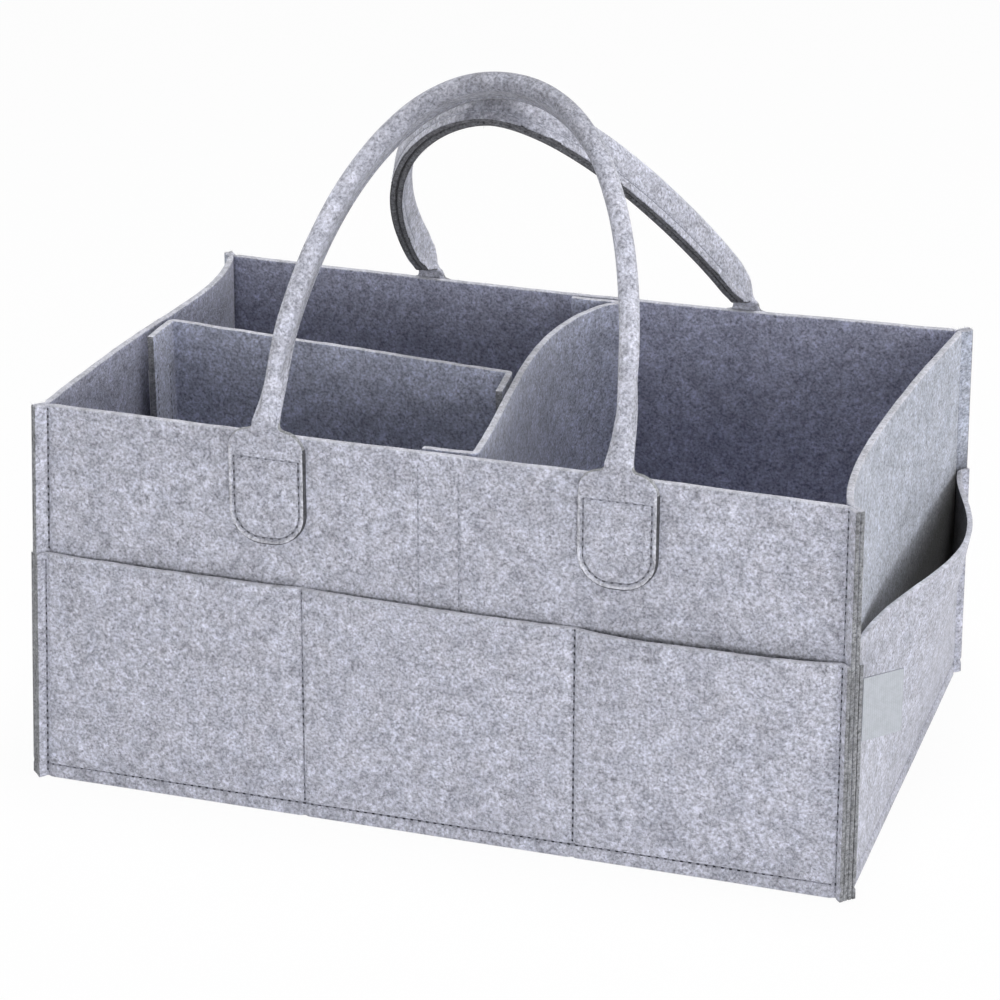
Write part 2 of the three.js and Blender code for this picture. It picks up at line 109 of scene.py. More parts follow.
class NodeSheet:
    """The nodes of a material or a world, with short calls that add and join them."""

    def __init__(
        self, owner: Dressed, shader: str = "Principled BSDF", place: str = "Object"
    ) -> None:
        """Takes up the nodes.

        Args:
            owner: The material or world.
            shader: Its shader's name.
            place: The kind of place that its textures follow.
        """
        owner.use_nodes = True
        self.owner = owner
        self.tree = owner.node_tree
        self.shader = self.tree.nodes[shader]
        self.place = self.add("ShaderNodeTexCoord").outputs[place]

    def add(self, kind: str, **settings: object) -> bpy.types.Node:
        """Adds a node.

        Args:
            kind: Blender's name of the node type.
            settings: Properties to set on it.

        Returns:
            The node.
        """
        node = self.tree.nodes.new(kind)
        for key, value in settings.items():
            setattr(node, key, value)
        return node

    def feed(self, node: bpy.types.Node, key: Union[str, int], value: object) -> None:
        """Joins a socket to an input, or sets the input's own value.

        Args:
            node: The node that is fed.
            key: The input's name or number.
            value: A socket, or a plain value.
        """
        if isinstance(value, bpy.types.NodeSocket):
            self.tree.links.new(value, node.inputs[key])
        else:
            node.inputs[key].default_value = value

    def math(self, operation: str, first: object, second: object = 0.0) -> Socket:
        """Adds a sum of two values.

        Args:
            operation: The sum's kind, such as ADD.
            first: A socket or number.
            second: A socket or number.

        Returns:
            The result.
        """
        node = self.add("ShaderNodeMath", operation=operation)
        self.feed(node, 0, first)
        self.feed(node, 1, second)
        return node.outputs[0]

    def noise(self, per_metre: float, seed: float, detail: float = 0.0, rough: float = 0.5) -> Socket:
        """Adds a noise from 0 to 1.

        Args:
            per_metre: How many features a metre holds.
            seed: Picks one noise among many.
            detail: Octaves of finer noise.
            rough: How strong the finer noise is.

        Returns:
            The noise's value.
        """
        node = self.add("ShaderNodeTexNoise", noise_dimensions="4D")
        self.feed(node, "Vector", self.place)
        self.feed(node, "W", seed)
        self.feed(node, "Scale", per_metre)
        self.feed(node, "Detail", detail)
        self.feed(node, "Roughness", rough)
        return node.outputs[0]

    def ramp(self, value: Socket, low: float, high: float, start: float, end: float) -> Socket:
        """Adds a smooth step between two levels.

        Args:
            value: What is read.
            low: The level where the step starts.
            high: The level where it ends.
            start: The result at low.
            end: The result at high.

        Returns:
            The result.
        """
        node = self.add("ShaderNodeMapRange", interpolation_type="SMOOTHSTEP")
        self.feed(node, 0, value)
        for index, number in enumerate((low, high, start, end), start=1):
            self.feed(node, index, number)
        return node.outputs[0]

    def mix(self, share: object, first: object, second: object) -> Socket:
        """Adds a mix of two colours.

        Args:
            share: How much of the second there is.
            first: A colour or socket.
            second: A colour or socket.

        Returns:
            The mixed colour.
        """
        node = self.add("ShaderNodeMix", data_type="RGBA")
        self.feed(node, 0, share)
        self.feed(node, 6, first)
        self.feed(node, 7, second)
        return node.outputs[2]

    def shade(self, colour: Socket, level: Socket) -> Socket:
        """Adds a colour made lighter or darker by a level, 1 leaving it as it is."""
        node = self.add("ShaderNodeVectorMath", operation="SCALE")
        self.feed(node, 0, colour)
        self.feed(node, "Scale", level)
        return node.outputs[0]

    def greatest(self, values: Sequence[Socket]) -> Socket:
        """Adds the greatest of some values."""
        return reduce(lambda first, second: self.math("MAXIMUM", first, second), values)

    def parts(self) -> tuple[Socket, ...]:
        """Splits the place on the piece.

        Returns:
            Its X, Y and Z.
        """
        node = self.add("ShaderNodeSeparateXYZ")
        self.feed(node, 0, self.place)
        return tuple(node.outputs)

    def strokes(self, per_metre: float, width: float, seed: float, kept: float) -> Socket:
        """Adds short curled strokes: level lines of a smooth noise, broken up by another.

        Args:
            per_metre: How many curls a metre holds.
            width: The strokes' half width, in levels of the noise.
            seed: Picks the pattern.
            kept: The level of the breaking noise above which strokes stay.

        Returns:
            1 on a stroke and 0 beside it.
        """
        away = self.math("ABSOLUTE", self.math("SUBTRACT", self.noise(per_metre, seed), 0.5))
        line = self.ramp(away, 0.0, width, 1.0, 0.0)
        breaks = self.ramp(self.noise(per_metre * 0.8, seed + 5.0), kept, kept + 0.07, 0.0, 1.0)
        return self.math("MULTIPLY", line, breaks)

    def bump(self, height: Socket, strength: float, depth: float) -> None:
        """Roughens the surface.

        Args:
            height: The relief, from 0 to 1.
            strength: How strongly it shades.
            depth: The relief's height in millimetres.
        """
        node = self.add("ShaderNodeBump")
        self.feed(node, "Height", height)
        self.feed(node, "Strength", strength)
        self.feed(node, "Distance", depth * MM)
        self.feed(self.shader, "Normal", node.outputs[0])


DARK_CURLS = ((200.0, 0.05, 11.0, 0.5), (330.0, 0.075, 12.0, 0.53), (520.0, 0.12, 13.0, 0.55))
LIGHT_CURLS = ((250.0, 0.04, 21.0, 0.5), (430.0, 0.07, 22.0, 0.53))


@dataclass(frozen=True)
class FeltFinish:
    """Needle felt of mixed grey fibres."""

    name: str
    cool: Colour
    warm: Colour
    mottle: float = 0.41
    patch: float = 0.17
    cloud: float = 0.1
    dark: float = 0.24
    light: float = 0.2
    relief: float = 0.5
    fuzz: float = 0.25
    hollow_top: float = 0.0
    hollow_fade: float = 22.0
    hollow_slope: float = 0.0
    hollow_level: float = 0.1
    top_shade_low: float = 0.0
    top_shade_high: float = 0.0
    top_shade_level: float = 0.7

    def material(self) -> bpy.types.Material:
        """Makes the felt: mottled fibres in the colour, their relief in the surface, a soft fuzz.

        Returns:
            The material.
        """
        sheet = NodeSheet(bpy.data.materials.new(self.name))
        flecks = sheet.noise(760.0, 1.0, 2.0, 0.6)
        patches = sheet.noise(240.0, 2.0, 1.0, 0.5)
        clouds = sheet.noise(75.0, 3.0, 1.0, 0.5)
        dark = sheet.greatest([sheet.strokes(*curls) for curls in DARK_CURLS])
        light = sheet.greatest([sheet.strokes(*curls) for curls in LIGHT_CURLS])
        level = sheet.ramp(flecks, 0.25, 0.75, 1.0 - self.mottle, 1.0 + self.mottle)
        for fibres, share in ((dark, -self.dark), (light, self.light)):
            level = sheet.math("ADD", level, sheet.math("MULTIPLY", fibres, share))
        for blotches, swing in ((patches, self.patch), (clouds, self.cloud)):
            blotched = sheet.ramp(blotches, 0.25, 0.75, 1.0 - swing, 1.0 + swing)
            level = sheet.math("MULTIPLY", level, blotched)
        # Painted shade down inside a pocket.
        if self.hollow_top > 0.0:
            level = sheet.math("MULTIPLY", level, self.hollow(sheet))
        # Painted shade toward a strap's top, where the two straps meet.
        if self.top_shade_high > 0.0:
            level = sheet.math("MULTIPLY", level, self.crown(sheet))
        hue = sheet.mix(sheet.noise(120.0, 5.0, 1.0), (*self.cool, 1.0), (*self.warm, 1.0))
        sheet.feed(sheet.shader, "Base Color", sheet.shade(hue, level))
        fine = sheet.noise(2600.0, 4.0, 2.0, 0.6)
        height = sheet.math("MULTIPLY", flecks, 0.7)
        for fibres, share in ((fine, 0.5), (light, 0.35), (dark, -0.3)):
            height = sheet.math("ADD", height, sheet.math("MULTIPLY", fibres, share))
        sheet.bump(height, self.relief, 0.5)
        sheet.feed(sheet.shader, "Roughness", 0.95)
        sheet.feed(sheet.shader, "Specular IOR Level", 0.12)
        sheet.feed(sheet.shader, "Sheen Weight", self.fuzz)
        sheet.feed(sheet.shader, "Sheen Roughness", 0.6)
        return sheet.owner

    def hollow(self, sheet: NodeSheet) -> Socket:
        """Darkens the felt down inside a pocket, where little light falls.

        Args:
            sheet: The material's nodes.

        Returns:
            The felt's level, 1 from the hollow's top up.
        """
        _, y, z = sheet.parts()
        height = sheet.math("SUBTRACT", z, sheet.math("MULTIPLY", y, self.hollow_slope))
        top = self.hollow_top * MM
        return sheet.ramp(height, top - self.hollow_fade * MM, top, self.hollow_level, 1.0)

    def crown(self, sheet: NodeSheet) -> Socket:
        """Darkens a strap toward its top: painted shade where the two straps meet and shade each other.
        """
        height = sheet.parts()[2]
        return sheet.ramp(height, self.top_shade_low * MM, self.top_shade_high * MM, 1.0, self.top_shade_level)


@dataclass(frozen=True)
class ThreadFinish:
    """Twisted sewing thread, or the painted shade of the needle holes that it is drawn into."""

    name: str
    tone: Colour
    twist: float = 2400.0

    def material(self) -> bpy.types.Material:
        """Makes the thread, with its ply in the surface.

        Returns:
            The material.
        """
        sheet = NodeSheet(bpy.data.materials.new(self.name))
        ply = sheet.noise(self.twist, 1.0, 1.0)
        level = sheet.ramp(ply, 0.3, 0.7, 0.75, 1.2)
        worn = (*(0.9 * part for part in self.tone), 1.0)
        tone = sheet.mix(sheet.noise(300.0, 2.0), (*self.tone, 1.0), worn)
        sheet.feed(sheet.shader, "Base Color", sheet.shade(tone, level))
        sheet.bump(ply, 0.4, 0.15)
        sheet.feed(sheet.shader, "Roughness", 0.7)
        sheet.feed(sheet.shader, "Specular IOR Level", 0.25)
        return sheet.owner


@dataclass(frozen=True)
class RibbonFinish:
    """A close weave, for the hook tape's ground and for the blank tag."""

    name: str
    tone: Colour
    ribs: float
    roughness: float

    def material(self) -> bpy.types.Material:
        """Makes the weave: crossing ribs with a little wear in their tone.

        Returns:
            The material.
        """
        sheet = NodeSheet(bpy.data.materials.new(self.name))
        waves = []
        for direction in ("X", "Z"):
            wave = sheet.add("ShaderNodeTexWave", wave_type="BANDS", bands_direction=direction)
            sheet.feed(wave, "Vector", sheet.place)
            sheet.feed(wave, "Scale", self.ribs)
            sheet.feed(wave, "Distortion", 0.6)
            waves.append(wave.outputs[1])
        weave = sheet.math("MULTIPLY", waves[0], waves[1])
        wear = sheet.noise(400.0, 1.0, 2.0, 0.6)
        ribbed = sheet.ramp(weave, 0.0, 1.0, 0.86, 1.0)
        level = sheet.math("ADD", ribbed, sheet.ramp(wear, 0.3, 0.7, -0.06, 0.06))
        worn = (*(0.94 * part for part in self.tone), 1.0)
        plain = sheet.mix(wear, (*self.tone, 1.0), worn)
        sheet.feed(sheet.shader, "Base Color", sheet.shade(plain, level))
        sheet.bump(weave, 0.5, 0.12)
        sheet.feed(sheet.shader, "Roughness", self.roughness)
        sheet.feed(sheet.shader, "Sheen Weight", 0.1)
        return sheet.owner


OUTER_FELT = FeltFinish("felt_outside", (0.425, 0.44, 0.525), (0.455, 0.455, 0.515))
# The long walls' outside felt, with painted shade below the pocket mouths.
LONG_WALL_FELT = replace(OUTER_FELT, name="felt_long_wall", hollow_top=111.5)
# The end walls' outside felt, darker than the long walls', with painted shade below the pocket mouths
# that reaches higher toward the back.
END_WALL_FELT = FeltFinish(
    "felt_end_wall",
    (0.366, 0.396, 0.483),
    (0.391, 0.41, 0.474),
    hollow_top=107.5,
    hollow_fade=30.0,
    hollow_slope=0.2,
)
# A darker copy of the felt for the inside faces: painted shade added to the box's own shading inside.
INNER_FELT = FeltFinish("felt_inside", (0.335, 0.352, 0.465), (0.355, 0.362, 0.455))
DIVIDER_FELT = FeltFinish("felt_divider", (0.387, 0.413, 0.53), (0.408, 0.424, 0.519))
RIM_FELT = FeltFinish(
    "felt_rim", (0.45, 0.46, 0.53), (0.47, 0.47, 0.52), mottle=0.2, dark=0.2, relief=0.8, fuzz=0.4
)
CUT_FELT = FeltFinish(
    "felt_cut_edge", (0.215, 0.223, 0.245), (0.229, 0.232, 0.243), mottle=0.5, relief=1.0, fuzz=0.3
)
# Painted highlight: a lighter band just inside each tab's cut edge.
TAB_EDGE_HIGHLIGHT = FeltFinish(
    "felt_tab_edge", (0.5, 0.51, 0.58), (0.52, 0.52, 0.57), mottle=0.32, dark=0.25, relief=0.6
)
# A near-black felt on the pockets' inner faces: painted shade inside the pockets.
POCKET_SHADE_FELT = FeltFinish("felt_lining", (0.038, 0.039, 0.046), (0.04, 0.04, 0.046), fuzz=0.03)
# Painted shadow: the thin dark outline at a tab's cut edge and on its side walls, darker than the cut
# edge's own tone.
TAB_OUTLINE_SHADOW = FeltFinish(
    "felt_strap_edge", (0.068, 0.07, 0.079), (0.074, 0.074, 0.08), mottle=0.4, relief=0.9, fuzz=0.05
)
# The fold's raw edges: the cut edges' own darker tone, deepened with painted shade where they face down
# and in.
RAW_EDGE_SHADED = FeltFinish(
    "felt_raw_edge", (0.125, 0.128, 0.143), (0.135, 0.135, 0.144), mottle=0.6, relief=1.0, fuzz=0.12
)
STRAP_FELT = FeltFinish("felt_strap", (0.408, 0.4224, 0.504), (0.437, 0.437, 0.494))
# Strap felts with painted shade toward the top, where the two straps meet and shade each other.
FRONT_GRIP = replace(
    STRAP_FELT, name="felt_front_grip", top_shade_low=288.0, top_shade_high=323.0, top_shade_level=0.64
)
BACK_GRIP = replace(
    OUTER_FELT, name="felt_back_grip", top_shade_low=286.0, top_shade_high=311.0, top_shade_level=0.66
)
SEAM_THREAD = ThreadFinish("thread", (0.29, 0.3, 0.345))
PALE_THREAD = ThreadFinish("pale_thread", (0.4, 0.41, 0.475))
# Dark discs at the stitches' ends: painted shade in the needle holes, lighter on the tabs.
NEEDLE_HOLE_SHADE = ThreadFinish("needle_holes", (0.035, 0.035, 0.045))
TAB_HOLE_SHADE = ThreadFinish("tab_needle_holes", (0.1, 0.1, 0.115))
TAPE_GROUND = RibbonFinish("hook_tape", (0.60, 0.61, 0.63), 330.0, 0.75)
TAG_WEAVE = RibbonFinish("blank_tag", (0.47, 0.495, 0.54), 420.0, 0.7)


class Wardrobe:
    """The materials, made once and shared by the pieces."""

    def __init__(self) -> None:
        """Makes every material."""
        self.outer = OUTER_FELT.material()
        self.long_wall = LONG_WALL_FELT.material()
        self.end_wall = END_WALL_FELT.material()
        self.inner = INNER_FELT.material()
        self.divider = DIVIDER_FELT.material()
        self.rim = RIM_FELT.material()
        self.cut = CUT_FELT.material()
        self.pocket_shade = POCKET_SHADE_FELT.material()
        self.tab_edge_highlight = TAB_EDGE_HIGHLIGHT.material()
        # Painted shadow round the tabs' edges.
        self.strap_edge = TAB_OUTLINE_SHADOW.material()
        self.raw_edge_shaded = RAW_EDGE_SHADED.material()
        self.grips = {"front": FRONT_GRIP.material(), "back": BACK_GRIP.material()}
        self.thread = SEAM_THREAD.material()
        self.pale_thread = PALE_THREAD.material()
        # Each pair is a thread and the painted shade in its needle holes.
        self.sewing = (self.thread, NEEDLE_HOLE_SHADE.material())
        self.tab_sewing = (self.thread, TAB_HOLE_SHADE.material())
        self.faint_sewing = (self.pale_thread, self.thread)
        self.tape = TAPE_GROUND.material()
        self.tag = TAG_WEAVE.material()


def graded(low: float, high: float, step: float, marks: Sequence[float] = ()) -> np.ndarray:
    """Places stations along a length, close together beside seams and ends.

    Args:
        low: Where the length starts.
        high: Where it ends.
        step: The widest spacing.
        marks: Places that need close stations, such as seams.

    Returns:
        The stations in order.
    """
    wanted = list(np.linspace(low, high, max(2, round((high - low) / step) + 1)))
    wanted += [low + BESIDE_END, high - BESIDE_END]
    for mark in marks:
        wanted += [mark + way for way in BESIDE_SEAM]
    kept = [low]
    for value in sorted(wanted):
        if min(value - kept[-1], high - value) > LEAST_STEP:
            kept.append(value)
    return np.array(kept + [high])


@dataclass(frozen=True)
class Ripple:
    """A smooth unevenness of the felt: its height, its wavelength and which noise it is."""

    height: float
    length: float
    seed: float

    def at(self, points: np.ndarray) -> np.ndarray:
        """Reads the unevenness.

        Args:
            points: Points, one a row.

        Returns:
            One value a point.
        """
        shift = Vector((self.seed, 2.0 * self.seed, -self.seed))
        values = [smooth_noise.noise(Vector(p) / self.length + shift) for p in points]
        return self.height * np.array(values)


WALL_WANDER = Ripple(0.18, 38.0, 3.0)
WALL_RIM = Ripple(0.3, 9.0, 8.0)
BASE_SAG = Ripple(0.5, 60.0, 5.0)
STRAP_RELIEF = Ripple(0.12, 17.0, 6.0)
DIVIDER_RIM = Ripple(0.35, 11.0, 9.0)


def groove(distance: np.ndarray, depth: float, width: float) -> np.ndarray:
    """Gives the dent of a pulled seam at a distance from it."""
    return -depth * np.exp(-((distance / width) ** 2))


def near_rim(below: float) -> float:
    """Tells how near a place is to a cut rim, from 1 on it to 0 well below it."""
    return float(np.exp(-((below / RIM_FADE) ** 2)))


def left_hand(path: np.ndarray) -> np.ndarray:
    """Gives the left-hand direction at each point of a path in plan.

    Args:
        path: The path's points, one a row.

    Returns:
        Directions of length 1.
    """
    ahead = np.gradient(path, axis=0)
    ahead /= np.linalg.norm(ahead, axis=1)[:, None]
    return np.stack([-ahead[:, 1], ahead[:, 0]], axis=1)


def at_height(plan: np.ndarray, z: float) -> np.ndarray:
    """Puts places in plan at a height."""
    return np.column_stack([plan, np.full(len(plan), z)])


def plies(plan: np.ndarray, half: np.ndarray, rows: np.ndarray) -> np.ndarray:
    """Stands a sheet's two faces beside its middle line in plan, at rows of heights."""
    return np.concatenate([at_height(face, z) for face in (plan - half, plan + half) for z in rows])


def tube_faces(first: int, rings: int, around: int) -> list[tuple[int, ...]]:
    """Lists the faces of a tube between rings of points.

    Args:
        first: The number of its first point.
        rings: How many rings it has.
        around: How many points a ring has.

    Returns:
        The faces, ring by ring.
    """
    faces: list[tuple[int, ...]] = []
    for ring in range(rings - 1):
        for step in range(around):
            a = first + ring * around + step
            b = first + ring * around + (step + 1) % around
            faces.append((a, b, b + around, a + around))
    return faces


def make_piece(
    name: str,
    points: np.ndarray,
    faces: list[tuple[int, ...]],
    materials: Sequence[bpy.types.Material],
    picks: Optional[Sequence[int]] = None,
    rounding: float = 0.0,
) -> bpy.types.Object:
    """Makes a mesh object.

    Args:
        name: The object's name.
        points: Its points in millimetres, one a row.
        faces: Its faces, as point numbers.
        materials: Its materials.
        picks: Which material each face has.
        rounding: How far sharp edges are rounded, in millimetres.

    Returns:
        The object, in the scene.
    """
    mesh = bpy.data.meshes.new(name)
    mesh.from_pydata((points * MM).tolist(), [], faces)
    for material in materials:
        mesh.materials.append(material)
    if picks is not None:
        mesh.polygons.foreach_set("material_index", np.array(picks, np.int32))
    shaped = bmesh.new()
    shaped.from_mesh(mesh)
    bmesh.ops.recalc_face_normals(shaped, faces=shaped.faces)
    if rounding > 0.0:
        sharp = [edge for edge in shaped.edges if edge.calc_face_angle(0.0) > SHARP]
        made = bmesh.ops.bevel(
            shaped,
            geom=sharp,
            offset=rounding * MM,
            segments=2,
            profile=0.55,
            affect="EDGES",
            clamp_overlap=True,
        )
        take_edge_finish(made["faces"])
    for face in shaped.faces:
        face.smooth = True
    shaped.to_mesh(mesh)
    shaped.free()
    piece = bpy.data.objects.new(name, mesh)
    bpy.context.scene.collection.objects.link(piece)
    return piece


def take_edge_finish(faces: Sequence[bmesh.types.BMFace]) -> None:
    """Gives rounded edges the finish of the cut edge that they belong to.

    Args:
        faces: The faces of the rounded edges.
    """
    for _ in range(2):
        for face in faces:
            beside = [other.material_index for edge in face.edges for other in edge.link_faces]
            face.material_index = max(beside)


def settle(piece: bpy.types.Object, body: Body, slot: Slot, *nodes: str) -> None:
    """Puts a piece on its body, in place of the solids it stands for.

    Args:
        piece: The piece, shaped and in place.
        body: The body that it moves with.
        slot: The record's material slot; not used.
        nodes: The solids that it replaces.
    """
    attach(piece, body.value)
    if nodes:
        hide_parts(*nodes)
    LOG.info("%s: %d faces on %s", piece.name, len(piece.data.polygons), body.value)


def slab_faces(rows: int, columns: int) -> tuple[list[tuple[int, ...]], list[int]]:
    """Lists the faces of a slab between two grids of points, the outer grid's points first.

    Args:
        rows: The grids' rows.
        columns: The grids' columns.

    Returns:
        The faces, and for each 0 outside, 1 inside, 2 on the top and bottom edge,
        and 3 on the end edges.
    """
    faces: list[tuple[int, ...]] = []
    picks: list[int] = []
    back = rows * columns
    for row in range(rows - 1):
        for column in range(columns - 1):
            a = row * columns + column
            quad = (a, a + 1, a + columns + 1, a + columns)
            faces.append(quad)
            picks.append(0)
            faces.append(tuple(back + corner for corner in reversed(quad)))
            picks.append(1)
    for column in range(columns - 1):
        for start in (column, (rows - 1) * columns + column):
            faces.append((start, start + 1, back + start + 1, back + start))
            picks.append(2)
    for row in range(rows - 1):
        for start in (row * columns, row * columns + columns - 1):
            faces.append((start, start + columns, back + start + columns, back + start))
            picks.append(3)
    return faces, picks


@dataclass(frozen=True)
class BoxShape:
    """Sizes of the sewn box, as in the solids, and how it stands in the photograph."""

    panel_felt: float = 3.0
    pocket_felt: float = 2.5
    sewn_gap: float = 0.3
    inside_width: float = 375.0
    inside_depth: float = 232.5
    wall_height: float = 184.0
    end_lean: float = 2.5
    side_lean: float = 8.2
    seam_width: float = 8.0
    base_rise: float = 6.0
    base_felt: float = 3.0
    pocket_top: float = 111.5
    bottom_stitch: float = 6.2
    seam_bend: float = 2.6
    seam_squeeze: float = 0.68
    foot_splay: float = 4.0
    rim_sag: float = 3.2
    back_spread: float = 2.4

    @property
    def base_top(self) -> float:
        """Height of the base sheet's upper face."""
        return self.base_rise + self.base_felt

    def half_width(self, z: float) -> float:
        """Half the distance between the end walls' inner faces at a height."""
        return self.inside_width / 2 - self.end_lean * z / self.wall_height

    def half_depth(self, z: float) -> float:
        """Half the distance between the long walls' inner faces at a height."""
        return self.inside_depth / 2 - self.side_lean * z / self.wall_height

    def bow_growth(self, z: float) -> float:
        """How far the walls' bows have grown at a height, from 0 at the base to 1 at the rim."""
        return max(0.0, (z - self.base_top) / (self.wall_height - self.base_top))

    def folded(self, depth: float) -> float:
        """How far felt lies from the middle of a pressed corner seam, by its depth outside the wall."""
        return self.seam_squeeze * (depth + self.sewn_gap / 2)

    def stance(self, points: np.ndarray) -> np.ndarray:
        """Splays the box's left foot and its rim's back right corner and sinks the front right rim.

        Args:
            points: Points, one a row.

        Returns:
            The points as the box stands.
        """
        x, y, z = points.T
        height = z / self.wall_height
        side = 2.0 * x / self.inside_width
        front = np.clip(0.25 - 1.5 * y / self.inside_depth, 0.0, 1.0)
        splay = self.foot_splay * np.clip(-side, 0.0, 1.0) ** 2 * (1.0 - height)
        sag = self.rim_sag * np.clip(side, 0.0, 1.0) ** 2 * front * height**4
        back = np.clip(0.5 + y / self.inside_depth, 0.0, 1.0)
        spread = self.back_spread * np.clip(side, 0.0, 1.0) ** 4 * back * height
        return np.column_stack([x - splay + spread, y, z - sag])


BOX = BoxShape()


def bow_shape(t: np.ndarray, peak: float, fullness: float = 1.0) -> np.ndarray:
    """Gives a bow over places from 0 to 1: 0 at both ends, 1 at its peak, broad if fullness is low."""
    power = math.log(0.5) / math.log(peak)
    return np.maximum(0.0, np.sin(np.pi * np.clip(t, 0.0, 1.0) ** power)) ** fullness


@dataclass(frozen=True)
class Wall:
    """One side of the box: the way that it faces and how it bows."""

    side: Side
    bow: float
    peak: float

    @property
    def is_end(self) -> bool:
        """Whether this is one of the two short walls."""
        return self.side in (Side.LEFT, Side.RIGHT)

    def half_span(self, z: float) -> float:
        """Half the wall's inner length at a height."""
        return BOX.half_depth(z) if self.is_end else BOX.half_width(z)

    def face(self, z: float) -> float:
        """Distance of the wall's unbowed inner face from the middle at a height."""
        return BOX.half_width(z) if self.is_end else BOX.half_depth(z)

    def inward(self, t: np.ndarray, z: float) -> np.ndarray:
        """How far the wall bows in at places from 0 to 1 along it, at a height."""
        along = 1.0 - t if self.side is Side.LEFT else t
        return self.bow * bow_shape(along, self.peak) * BOX.bow_growth(z)

    def inner_face(self, u: float, z: float) -> float:
        """Distance of the wall's inner face from the middle, at a place along it and a height."""
        t = np.array([(u / self.half_span(z) + 1.0) / 2.0])
        return float(self.face(z) - self.inward(t, z)[0])

    def seam_edge(self, z: float, depth: float) -> np.ndarray:
        """Finds the raw edge of the seam at the wall's end.

        Args:
            z: The height.
            depth: How far outside the wall's inner face the felt lies.

        Returns:
            Its place along the wall and distance out.
        """
        folded = BOX.folded(depth)
        along = self.half_span(z) + (BOX.seam_width - folded) * ROOT_HALF
        return np.array([along, self.face(z) + (BOX.seam_width + folded) * ROOT_HALF])

    def place(self, plan: np.ndarray, z: np.ndarray) -> np.ndarray:
        """Turns places along and out from a wall into points.

        Args:
            plan: Places as rows of length along the wall and distance out.
            z: Their heights.

        Returns:
            The points.
        """
        angle = math.radians(self.side.value)
        u, v = plan[:, 0], plan[:, 1]
        x = u * math.cos(angle) + v * math.sin(angle)
        y = u * math.sin(angle) - v * math.cos(angle)
        return BOX.stance(np.stack([x, y, np.broadcast_to(z, x.shape)], axis=1))


WALLS = {
    Side.FRONT: Wall(Side.FRONT, -3.0, 0.5),
    Side.RIGHT: Wall(Side.RIGHT, 9.0, 0.31),
    Side.BACK: Wall(Side.BACK, 5.0, 0.5),
    Side.LEFT: Wall(Side.LEFT, 7.8, 0.77),
}


@dataclass(frozen=True)
class Seam:
    """One row of stitches: the line that it follows and the way that the felt faces there."""

    line: np.ndarray
    facing: np.ndarray


@dataclass(frozen=True)
class Thread:
    """A lockstitch in thick thread."""

    pitch: float = 3.7
    length: float = 2.9
    radius: float = 0.4
    flatness: float = 0.75
    hole: float = 0.62
    hole_lift: float = 0.06
    sides: int = 6

    def stitch(
        self, seams: Sequence[Seam], name: str, skins: Sequence[bpy.types.Material]
    ) -> bpy.types.Object:
        """Sews rows of stitches, each sunk at both ends into its needle hole.

        Args:
            seams: The rows.
            name: The piece's name.
            skins: The materials of the thread and of the painted shade in the needle holes.

        Returns:
            The stitches as one piece.
        """
        points: list[np.ndarray] = []
        faces: list[tuple[int, ...]] = []
        picks: list[int] = []
        for seam in seams:
            for middle, ahead, facing in self.spaced(seam):
                self.one_stitch(middle, ahead, facing, points, faces, picks)
        return make_piece(name, np.concatenate(points), faces, skins, picks)

    def spaced(self, seam: Seam) -> list[tuple[np.ndarray, np.ndarray, np.ndarray]]:
        """Finds where the stitches of a row lie.

        Args:
            seam: The row.

        Returns:
            Each stitch's middle, direction and facing.
        """
        steps = np.linalg.norm(np.diff(seam.line, axis=0), axis=1)
        run = np.concatenate([[0.0], np.cumsum(steps)])
        count = int(run[-1] / self.pitch)
        found = []
        for index in range(count):
            at = (index + 0.5) * run[-1] / count
            ends = [self.along(seam.line, run, at + way) for way in (-0.5, 0.5)]
            ahead = ends[1] - ends[0]
            facing = self.along(seam.facing, run, at)
            found.append((self.along(seam.line, run, at), ahead / np.linalg.norm(ahead), facing))
        return found

    @staticmethod
    def along(values: np.ndarray, run: np.ndarray, at: float) -> np.ndarray:
        """Reads rows of values at a length along a line."""
        return np.array([np.interp(at, run, values[:, axis]) for axis in range(3)])

    def one_stitch(
        self,
        middle: np.ndarray,
        ahead: np.ndarray,
        facing: np.ndarray,
        points: list[np.ndarray],
        faces: list[tuple[int, ...]],
        picks: list[int],
    ) -> None:
        """Adds one stitch and two dark discs at its ends, painted shade for its needle holes.

        Args:
            middle: Its middle on the felt.
            ahead: The direction of the row.
            facing: The way that the felt faces.
            points: The piece's points so far.
            faces: The piece's faces so far.
            picks: The faces' materials so far.
        """
        facing = facing / np.linalg.norm(facing)
        across = np.cross(facing, ahead)
        rise = ((-0.5, -0.5, 0.5), (-0.4, -0.05, 0.9), (-0.15, 0.16, 1.0))
        shape = rise + tuple((-share, lift, size) for share, lift, size in reversed(rise))
        turns = [2.0 * math.pi * side / self.sides for side in range(self.sides)]
        base = sum(len(group) for group in points)
        rings = []
        for share, lift, size in shape:
            for turn in turns:
                aside = self.radius * size * math.cos(turn)
                up = lift + self.flatness * self.radius * size * math.sin(turn)
                rings.append(middle + share * self.length * ahead + aside * across + up * facing)
        points.append(np.array(rings))
        tube = tube_faces(base, len(shape), self.sides)
        faces += tube
        picks += [0] * len(tube)
        base += len(rings)
        # Dark discs: painted shade in the two needle holes.
        for end in (-0.55, 0.55):
            rim = []
            for turn in turns:
                way = self.hole * (1.2 * math.cos(turn) * ahead + 0.8 * math.sin(turn) * across)
                rim.append(middle + end * self.length * ahead + way + self.hole_lift * facing)
            points.append(np.array(rim))
            faces.append(tuple(range(base, base + self.sides)))
            picks.append(1)
            base += self.sides


THREAD = Thread()


BEND_STEPS = np.linspace(0.0, 1.0, 9)[1:]
FINE_STATIONS = np.linspace(-1.0, 1.0, 301)
FLANGE_STEPS = 6
LIP_FADE = 120.0


